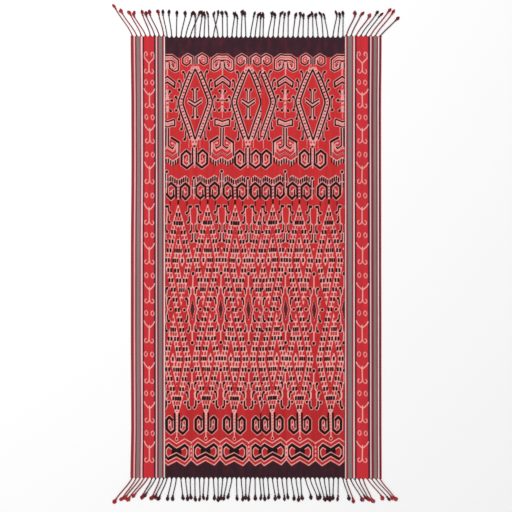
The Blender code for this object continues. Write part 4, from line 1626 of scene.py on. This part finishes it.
def stripes(tree, table, panel, settings):
    """The warp stripes across a border, as bands over the share of its width."""
    yarns = {
        "deep": settings.stripe_deep,
        "pale": settings.stripe_pale,
        "pink": settings.stripe_pink,
        "plum": settings.stripe_plum,
        "wine": settings.stripe_wine,
        "grey": settings.stripe_grey,
        "black": settings.ink_colour,
        "red": settings.stripe_red,
        "white": settings.stripe_white,
    }
    place = attribute_of(tree, "across").outputs["Fac"]
    wander = math_node(tree, "SUBTRACT", streaks(tree, STRIPE_WANDER), 0.5)
    place = math_node(tree, "ADD", place, math_node(tree, "MULTIPLY", wander, 0.005))
    ramp = new_node(tree, "ShaderNodeValToRGB")
    ramp.color_ramp.interpolation = "CONSTANT"
    low = CHART_MIDDLE + panel.left / BUNDLE
    wide = (panel.right - panel.left) / BUNDLE
    for i, (start, yarn) in enumerate(table):
        share = min(1.0, max(0.0, (start - low) / wide))
        elements = ramp.color_ramp.elements
        band = elements[0] if i == 0 else elements[1] if i == 1 else elements.new(share)
        band.position = share
        band.color = rgba(yarns[yarn])
    tree.links.new(place, ramp.inputs["Fac"])
    return ramp.outputs["Color"]


def border_cotton(name, table, panel, groups, settings):
    """The striped warp of a border under its charted figures."""
    material, tree, shader = cotton(name)
    ground = stripes(tree, table, panel, settings)
    finish_cloth(tree, shader, charted(tree, ground, groups, settings), groups, settings)
    return material


def cord_cotton(name, dark, red):
    """Twisted cotton between a dark and a red dye, yarn by yarn."""
    material, tree, shader = cotton(name, CORD_ROUGHNESS)
    colour = mix_colour(tree, attribute_of(tree, "dye").outputs["Fac"], rgba(dark), rgba(red))
    fuzz = streaks(tree, CORD_MOTTLE, detail=3.0)
    shade = math_node(tree, "ADD", math_node(tree, "MULTIPLY", fuzz, 0.8), 0.6)
    tint = new_node(tree, "ShaderNodeCombineColor")
    for socket in tint.inputs[:3]:
        tree.links.new(shade, socket)
    tree.links.new(mix_colour(tree, 1.0, colour, tint.outputs[0], "MULTIPLY"), shader.inputs["Base Color"])
    raise_height(tree, shader, streaks(tree, CORD_GRAIN, detail=2.0), CORD_RELIEF)
    return material


def find_or_make(name, make):
    return bpy.data.node_groups.get(name) or make()


def groups_of_shawl():
    """The node groups that the cloths share, each made once."""
    return {
        "edge": find_or_make("Tied Warp Edge", tied_edge_group),
        "dye": find_or_make("Uneven Dye", uneven_dye_group),
        "weave": find_or_make("Warp Faced Weave", warp_faced_group),
    }


def colour_property(name, description, default):
    return FloatVectorProperty(
        name=name, description=description, subtype="COLOR", size=3, min=0.0, max=1.0, default=default
    )


def length_property(name, description, default):
    return FloatProperty(
        name=name, description=description, subtype="DISTANCE", unit="LENGTH", default=default, precision=5
    )


def share_property(name, description, default):
    return FloatProperty(name=name, description=description, min=0.0, max=1.0, default=default)


def number_property(name, description, default):
    return FloatProperty(name=name, description=description, default=default)


def count_property(name, description, low, high, default):
    return IntProperty(name=name, description=description, min=low, max=high, default=default)


class ClothSettings(bpy.types.PropertyGroup):
    """Sizes and colours of the woven cloth"""

    cell_width: length_property("Cell Width", "Width of one cell of the cloth's mesh", 0.0026)
    cell_length: length_property("Cell Length", "Length of one cell of the cloth's mesh", 0.0034)
    ground_colour: colour_property("Ground", "Red ground of the patterned widths", (0.64, 0.030, 0.033))
    ground_deep: colour_property("Deep Ground", "Ground where the dye took deeper", (0.44, 0.019, 0.023))
    pale_colour: colour_property("Pale", "Tied parts of the warp that kept a pale pink", (0.92, 0.40, 0.36))
    pale_worn: colour_property("Worn Pale", "Tied parts that greyed with wear", (0.70, 0.335, 0.33))
    ink_colour: colour_property("Ink", "Overdyed black of the figures", (0.016, 0.005, 0.006))
    band_colour: colour_property("Band", "Dark bands at both ends", (0.040, 0.014, 0.022))
    band_red: colour_property("Band Red", "Redder mottling of the dark bands", (0.080, 0.015, 0.025))
    stripe_red: colour_property("Red Stripe", "Red middle stripes of the borders", (0.59, 0.028, 0.038))
    stripe_plum: colour_property("Plum Stripe", "Darkest maroon stripes of borders", (0.080, 0.014, 0.026))
    stripe_pink: colour_property("Pink Stripe", "Rosier pale stripes of the borders", (0.95, 0.42, 0.45))
    stripe_deep: colour_property("Deep Stripe", "Dark red stripes of the borders", (0.27, 0.035, 0.040))
    stripe_wine: colour_property("Wine Stripe", "Maroon stripes of the borders", (0.21, 0.028, 0.040))
    stripe_pale: colour_property("Pale Stripe", "Pale pink stripes of the borders", (0.80, 0.50, 0.52))
    stripe_grey: colour_property("Grey Stripe", "Stripes of black and white warp", (0.245, 0.190, 0.185))
    stripe_white: colour_property("White Stripe", "Palest stripes of the borders", (0.86, 0.66, 0.66))
    dye_depth: share_property("Dye Depth", "How much the dye varies", 0.22)


class FringeSettings(bpy.types.PropertyGroup):
    """Sizes and colours of the cords and stitches"""

    ply_radius: length_property("Ply Radius", "Radius of one of a cord's two plies", 0.00128)
    lay: length_property("Lay", "Length of one full turn of the plies", 0.0110)
    rings_per_turn: count_property("Rings per Turn", "Rings of mesh in one turn", 5, 16, 7)
    brush_yarns: count_property("Brush Yarns", "Loose yarns beyond a knot", 6, 30, 20)
    brush_width: length_property("Brush Width", "Width of the loose yarns at a cord's tip", 0.0118)
    stitch_spacing: length_property("Stitch Spacing", "Distance between the seams' stitches", 0.0085)
    stitch_length: length_property("Stitch Length", "How far a stitch reaches across its seam", 0.0042)
    thread_radius: length_property("Thread Radius", "Radius of the sewing thread", 0.00035)
    cord_dark: colour_property("Dark Cord", "Dark dye of the cords", (0.030, 0.014, 0.019))
    cord_red: colour_property("Red Cord", "Red dye of the border cords", (0.43, 0.032, 0.036))
    brush_red: colour_property("Panel Cord Red", "Redder yarns of the panel cords", (0.16, 0.022, 0.030))


class StageSettings(bpy.types.PropertyGroup):
    """The floor, the light and the camera"""

    floor_size: length_property("Floor Size", "Side of the square floor", 14.0)
    floor_colour: colour_property("Floor", "Colour of the floor", (0.97, 0.97, 0.97))
    camera_x: length_property("Camera X", "Point that the camera looks at, across", -0.0003)
    camera_y: length_property("Camera Y", "Point that the camera looks at, along", -0.0094)
    view_width: length_property("View Width", "Width that the camera sees at the cloth", 2.048)
    focal_length: number_property("Focal Length", "Camera's focal length in mm", 100.0)
    key_power: number_property("Key Power", "Power of the main soft light in W", 790.0)
    world_strength: number_property("World Strength", "Strength of the even light all round", 0.49)


class SHAWL_OT_weave_borders(bpy.types.Operator):
    """Weaves the two striped borders with their small charted figures"""

    bl_idname = "shawl.weave_borders"
    bl_label = "Weave Borders"

    def execute(self, context):
        settings = context.scene.shawl_cloth
        groups = groups_of_shawl()
        for panel, table, chart in (
            (LEFT_BORDER, LEFT_STRIPES, left_border_chart),
            (RIGHT_BORDER, RIGHT_STRIPES, right_border_chart),
        ):
            material = border_cotton(panel.name + "_stripes", table, panel, groups, settings)
            weave_cloth(panel, settings.cell_width, settings.cell_length, chart, material, "border_cloth")
        return {"FINISHED"}


class SHAWL_OT_weave_panels(bpy.types.Operator):
    """Weaves the two patterned widths in the middle"""

    bl_idname = "shawl.weave_panels"
    bl_label = "Weave Panels"

    def execute(self, context):
        settings = context.scene.shawl_cloth
        material = panel_cotton(groups_of_shawl(), settings)
        for panel, chart in ((LEFT_PANEL, left_chart), (RIGHT_PANEL, right_chart)):
            weave_cloth(panel, settings.cell_width, settings.cell_length, chart, material, "panel_cloth")
        return {"FINISHED"}


class SHAWL_OT_twist_fringes(bpy.types.Operator):
    """Twists, knots and brushes out the cords at both ends"""

    bl_idname = "shawl.twist_fringes"
    bl_label = "Twist Fringes"

    def execute(self, context):
        settings = context.scene.shawl_fringe
        border = cord_cotton("border_cord_cotton", settings.cord_dark, settings.cord_red)
        plain = cord_cotton("panel_cord_cotton", settings.cord_dark, settings.brush_red)
        for panel in PANELS:
            is_border = panel.name.endswith("border")
            material, slot = (border, "border_cord") if is_border else (plain, "panel_cord")
            for end in ("top", "bottom"):
                fringe_piece(panel, end, settings, material, slot)
        return {"FINISHED"}


class SHAWL_OT_sew_seams(bpy.types.Operator):
    """Whips the four woven widths together"""

    bl_idname = "shawl.sew_seams"
    bl_label = "Sew Seams"

    def execute(self, context):
        settings = context.scene.shawl_fringe
        thread = cord_cotton("seam_thread", settings.cord_dark, settings.cord_red)
        for name, x in (("left_seam", LEFT_SEAM), ("middle_seam", MIDDLE_SEAM), ("right_seam", RIGHT_SEAM)):
            seam_piece(name, x, settings, thread)
        return {"FINISHED"}


class SHAWL_OT_set_stage(bpy.types.Operator):
    """Lays a plain pale floor and sets soft light and the camera over it"""

    bl_idname = "shawl.set_stage"
    bl_label = "Set Stage"

    def execute(self, context):
        settings = context.scene.shawl_stage
        lay_floor(settings)
        set_lights(settings)
        set_camera(settings)
        return {"FINISHED"}


# The floor's level under the shawl and its paper, the main light's place and breadth, and the
# camera's film width in millimetres and farthest sight.
FLOOR_LEVEL = -0.0004
FLOOR_ROUGHNESS = 0.9
FLOOR_SPECULAR = 0.1
KEY_PLACE = (-4.4, 4.2, 9.0)
KEY_BREADTH = 5.6
FILM_WIDTH = 36.0
FARTHEST = 50.0


def lay_floor(settings):
    """A plain pale floor."""
    bpy.ops.object.select_all(action="DESELECT")
    bpy.ops.mesh.primitive_plane_add(size=settings.floor_size, location=(0, 0, FLOOR_LEVEL))
    floor = bpy.context.object
    floor.name = "floor"
    material = bpy.data.materials.new("floor_paper")
    material.use_nodes = True
    shader = material.node_tree.nodes["Principled BSDF"]
    shader.inputs["Base Color"].default_value = rgba(settings.floor_colour)
    shader.inputs["Roughness"].default_value = FLOOR_ROUGHNESS
    shader.inputs["Specular IOR Level"].default_value = FLOOR_SPECULAR
    floor.data.materials.append(material)


def set_lights(settings):
    """Even light all round, and one broad soft light from the upper left."""
    world = bpy.data.worlds.new("even_light")
    bpy.context.scene.world = world
    world.use_nodes = True
    background = world.node_tree.nodes["Background"]
    background.inputs["Color"].default_value = (1, 1, 1, 1)
    background.inputs["Strength"].default_value = settings.world_strength
    bpy.ops.object.select_all(action="DESELECT")
    bpy.ops.object.light_add(type="AREA", location=KEY_PLACE)
    key = bpy.context.object
    key.name = "key_light"
    key.data.shape = "DISK"
    key.data.size = KEY_BREADTH
    key.data.energy = settings.key_power
    aim = Vector((0, 0, 0)) - key.location
    key.rotation_euler = aim.to_track_quat("-Z", "Y").to_euler()


def set_camera(settings):
    """A camera straight above the shawl, as in the photograph."""
    data = bpy.data.cameras.new("overhead")
    data.lens = settings.focal_length
    data.sensor_width = FILM_WIDTH
    data.clip_end = FARTHEST
    camera = bpy.data.objects.new("overhead", data)
    height = settings.view_width * settings.focal_length / data.sensor_width + CLOTH_THICKNESS
    camera.location = (settings.camera_x, settings.camera_y, height)
    bpy.context.scene.collection.objects.link(camera)
    bpy.context.scene.camera = camera
    bpy.context.scene.view_settings.view_transform = "Standard"


class SHAWL_PT_sidebar(bpy.types.Panel):
    """The shawl's pieces and their sizes and colours"""

    bl_idname = "SHAWL_PT_sidebar"
    bl_label = "Ikat Shawl"
    bl_space_type = "VIEW_3D"
    bl_region_type = "UI"
    bl_category = "Ikat Shawl"

    def draw(self, context):
        for operator in OPERATORS:
            self.layout.operator(operator.bl_idname)
        for label in ("Cloth", "Fringe", "Stage"):
            box = self.layout.box()
            box.label(text=label)
            group = getattr(context.scene, "shawl_" + label.lower())
            for name in group.bl_rna.properties.keys():
                if name not in ("rna_type", "name"):
                    box.prop(group, name)


OPERATORS = (
    SHAWL_OT_weave_borders,
    SHAWL_OT_weave_panels,
    SHAWL_OT_twist_fringes,
    SHAWL_OT_sew_seams,
    SHAWL_OT_set_stage,
)
CLASSES = (ClothSettings, FringeSettings, StageSettings) + OPERATORS + (SHAWL_PT_sidebar,)


def register():
    for item in CLASSES:
        bpy.utils.register_class(item)
    bpy.types.Scene.shawl_cloth = PointerProperty(type=ClothSettings)
    bpy.types.Scene.shawl_fringe = PointerProperty(type=FringeSettings)
    bpy.types.Scene.shawl_stage = PointerProperty(type=StageSettings)


def unregister():
    del bpy.types.Scene.shawl_stage
    del bpy.types.Scene.shawl_fringe
    del bpy.types.Scene.shawl_cloth
    for item in reversed(CLASSES):
        bpy.utils.unregister_class(item)


def main():
    register()
    bpy.ops.shawl.weave_borders()
    bpy.ops.shawl.weave_panels()
    bpy.ops.shawl.twist_fringes()
    bpy.ops.shawl.sew_seams()
    bpy.ops.shawl.set_stage()


if __name__ == "__main__":
    main()
